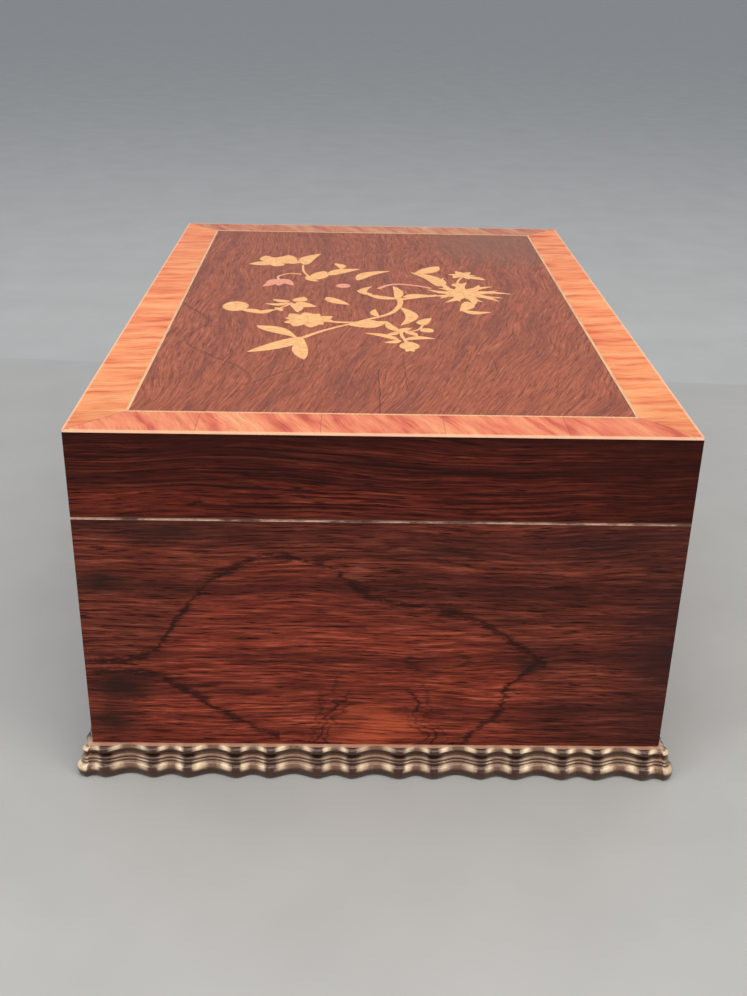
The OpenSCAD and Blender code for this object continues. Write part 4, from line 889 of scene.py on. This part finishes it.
brass = metal("lacquered_brass", (0.82, 0.56, 0.20), (0.66, 0.40, 0.13), 0.26, (0.25, 2.2, 2.2), 0.12)
steel = metal("polished_steel", (0.62, 0.61, 0.60), (0.48, 0.47, 0.47), 0.22, (0.3, 2.5, 2.5), 0.10)
blued = metal("blued_steel", (0.045, 0.07, 0.22), (0.03, 0.03, 0.10), 0.22, (1.5, 1.5, 1.5), 0.05)
dark_steel = metal("spring_steel", (0.22, 0.22, 0.24), (0.14, 0.13, 0.14), 0.35, (0.3, 2.0, 2.0), 0.10)
for name in ("glass_pins", "bedplate", "bedplate_feet", "barrel_bridge", "centre_bridge", "end_bridge",
             "comb_base", "governor_frame", "case_lock", "lock_bolt", "escutcheon", "case_hinge_leaves",
             "lid_hinge_leaves", "lock_loops", "card_tacks", "glass_pull", "winding_lever", "lever_grip",
             "spring_barrel", "barrel_cover", "great_wheel", "cylinder_wheel", "cylinder_drum",
             "first_wheel", "second_wheel", "start_lever", "change_lever"):
    wear(nodes[name], brass)
for name in ("movement_screws", "comb", "barrel_arbor", "ratchet_wheel", "click", "cylinder_arbor",
             "snail_cam", "fly"):
    wear(nodes[name], steel)
for name in ("bridge_screws", "comb_screws", "click_spring", "control_pivots"):
    wear(nodes[name], blued)
wear(nodes["mainspring"], dark_steel)


# ---------------------------------------------------------------- cylinder pins and cement
# Thin steel wires driven through the brass cylinder from inside, ground off level, held
# by the cement cast in it; each row of pins plays one tooth for one tune.

TEETH, TUNES = 56, 6
TUNE_STEP, FIRST_TUNE = 0.4, -1.0      # rows of one tooth, as shares of the width that they take
ROWS_WIDE = 0.8
DRUM_Y = 4.0
PIN_ROOT = (19.9, 0.17)                # distance from the cylinder's axis, and half the width there
PIN_TIP = (20.72, 0.13)
FREE_ARC = 352                         # degrees; the rest is the blank line where a tune ends

low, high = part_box("cylinder_drum")
comb_low, comb_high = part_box("comb")
drum_z = (low[2] + high[2]) / 2 / MM
tooth_pitch = (comb_high[0] - comb_low[0]) / MM / TEETH
dice = random.Random(7)
pin_points, pin_faces = [], []
for tooth in range(TEETH):
    for tune in range(TUNES):
        at = comb_low[0] / MM + (tooth + 0.5) * tooth_pitch + (TUNE_STEP * tune + FIRST_TUNE) * ROWS_WIDE
        for strike in range(dice.randint(2, 5)):
            a = math.radians(dice.uniform(0, FREE_ARC))
            start = len(pin_points)
            for r, half in (PIN_ROOT, PIN_TIP):
                for u, v in ((-1, -1), (1, -1), (1, 1), (-1, 1)):
                    side = a + v * half / r
                    y, z = DRUM_Y + r * math.cos(side), drum_z + r * math.sin(side)
                    pin_points.append(((at + u * half) * MM, y * MM, z * MM))
            for k in range(4):
                n = (k + 1) % 4
                pin_faces.append((start + k, start + n, start + 4 + n, start + 4 + k))
            pin_faces.append((start + 4, start + 5, start + 6, start + 7))
            pin_faces.append((start + 3, start + 2, start + 1, start))
mesh = bpy.data.meshes.new("cylinder_pins")
mesh.from_pydata(pin_points, [], pin_faces)
pins = bpy.data.objects.new("cylinder_pins", mesh)
bpy.context.scene.collection.objects.link(pins)
wear(pins, steel)
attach(pins, "drum")


def cement():
    material, tree, shader = new_finish("resin_cement", Roughness=0.7)
    crumbs = noise(tree, *place_mm(tree), scale=0.8, detail=4, rough=0.7)
    coloured(tree, shader, ramp(tree, crumbs, (0.3, (0.03, 0.014, 0.01)), (0.7, (0.09, 0.045, 0.03))))
    bumped(tree, shader, crumbs, 0.4)
    return material


wear(nodes["cylinder_filling"], cement())


# ---------------------------------------------------------------- glass of the inner lid
# A sheet of old plate glass, faintly green and not quite flat, bedded in the rebate of
# its frame.

def plate_glass():
    material, tree, shader = new_finish(
        "plate_glass", Roughness=0.03, Transmission_Weight=0.95, IOR=1.45, Base_Color=(0.93, 0.98, 0.95, 1))
    bumped(tree, shader, noise(tree, *place_mm(tree), scale=0.02), 0.1)
    return material


wear(nodes["glass_pane"], plate_glass())


# ---------------------------------------------------------------- tune card
# A card tacked under the lid, with a ruled border and ruled lines for the tunes; the
# paper has browned towards its edges.

CARD_L, CARD_D = 130.0, 90.0
RULE_STEP = 9.0


def card_finish():
    material, tree, shader = new_finish("aged_card", Roughness=0.8)
    x, y, z = place_mm(tree)
    fibre = noise(tree, x, y, z, scale=0.5, detail=4, rough=0.6)
    cloud = noise(tree, x, y, z, scale=0.03, detail=3, rough=0.6)
    card = ramp(tree, cloud, (0.3, (0.62, 0.50, 0.31)), (0.7, (0.78, 0.69, 0.49)))
    edge = calc(tree, "MINIMUM", minus(tree, CARD_L / 2, calc(tree, "ABSOLUTE", x)),
                minus(tree, CARD_D / 2, calc(tree, "ABSOLUTE", y)))
    border = largest(tree, line_near(tree, minus(tree, edge, 7.0), 0.5),
                     line_near(tree, minus(tree, edge, 9.0), 0.9))
    row = calc(tree, "FRACT", calc(tree, "DIVIDE", plus(tree, y, 100.0), RULE_STEP))
    rules = times(tree, line_near(tree, minus(tree, row, 0.5), 0.035), above(tree, edge, 16.0))
    ink = times(tree, largest(tree, border, rules), 0.8)
    card = blend(tree, ramp(tree, edge, (0.0, 0.5), (0.8, 0.0)), card, (0.40, 0.26, 0.13, 1))
    coloured(tree, shader, blend(tree, ink, card, (0.10, 0.035, 0.03, 1)))
    bumped(tree, shader, fibre, 0.15)
    return material


wear(nodes["tune_card"], card_finish())


# ---------------------------------------------------------------- floor, light and camera
# A pale floor that ends in a slanting line behind the box, with a greyer one a hair
# below it; a wide light overhead, a window to either side of the camera, a strip of
# light in front, and the camera at the right-hand end of the box.

NEAR_EDGE = [(-0.588, -4.2), (6, -4.2), (6, 4.2), (-0.015, 4.2)]
FAR_EDGE = [(-60, -60), (60, -60), (60, 60), (-60, 60)]
FAR_FLOOR = -0.0006
SKY, SKY_STRENGTH = (0.94, 0.96, 1.0, 1), 0.5
CAMERA_AT = (0.5119, -0.0110, 0.2775)
CAMERA_RIGHT = (0.01313, 0.99973, 0.01916)
CAMERA_AHEAD = (-0.90567, 0.02001, -0.42352)
LENS_MM = 42.0


def stage_finish(name, colour, rough):
    material, tree, shader = new_finish(name, Roughness=rough)
    mottle = noise(tree, *place_mm(tree), scale=0.02, detail=3)
    darker = [0.93 * part for part in colour]
    coloured(tree, shader, ramp(tree, mottle, (0.3, darker), (0.7, colour)))
    return material


def floor_plane(name, corners, height, material):
    mesh = bpy.data.meshes.new(name)
    mesh.from_pydata([(a, b, height) for a, b in corners], [], [(0, 1, 2, 3)])
    floor = bpy.data.objects.new(name, mesh)
    bpy.context.scene.collection.objects.link(floor)
    wear(floor, material)


floor_plane("floor_far", FAR_EDGE, FAR_FLOOR, stage_finish("grey_floor", (0.455, 0.475, 0.49), 0.9))
floor_plane("floor_near", NEAR_EDGE, 0.0, stage_finish("pale_floor", (0.42, 0.43, 0.435), 0.8))

world = bpy.data.worlds.new("studio")
bpy.context.scene.world = world
world.use_nodes = True
sky = world.node_tree.nodes["Background"].inputs
sky[0].default_value = SKY
sky[1].default_value = SKY_STRENGTH


def soft_light(name, place, aim, size, power, colour):
    data = bpy.data.lights.new(name, "AREA")
    data.shape = "RECTANGLE"
    data.size, data.size_y = size
    data.energy = power
    data.color = colour
    lamp = bpy.data.objects.new(name, data)
    bpy.context.scene.collection.objects.link(lamp)
    lamp.location = place
    lamp.rotation_mode = "QUATERNION"
    lamp.rotation_quaternion = (Vector(aim) - Vector(place)).to_track_quat("-Z", "Y")


soft_light("overhead", (0.15, 0.1, 1.4), (0.05, 0, 0), (1.2, 1.5), 9.5, (1.0, 0.95, 0.88))
soft_light("left_window", (1.0, -1.2, 0.75), (0.1, 0, 0.05), (0.5, 0.7), 6.5, (1.0, 0.96, 0.90))
soft_light("right_window", (1.0, 1.2, 0.75), (0.1, 0, 0.05), (0.5, 0.7), 7, (1.0, 0.86, 0.68))
soft_light("front_strip", (0.95, 0.0, 1.0), (0.16, 0, 0.02), (1.7, 0.35), 6, (1.0, 0.93, 0.82))

camera = bpy.data.cameras.new("camera")
camera.sensor_width = 36
camera.lens = LENS_MM
camera.clip_start = 0.01
viewer = bpy.data.objects.new("camera", camera)
bpy.context.scene.collection.objects.link(viewer)
right = Vector(CAMERA_RIGHT).normalized()
ahead = Vector(CAMERA_AHEAD).normalized()
up = right.cross(ahead).normalized()
right = ahead.cross(up)
viewer.matrix_world = Matrix((*zip(right, up, -ahead, CAMERA_AT), (0, 0, 0, 1)))
bpy.context.scene.camera = viewer
bpy.context.scene.view_settings.view_transform = "Standard"
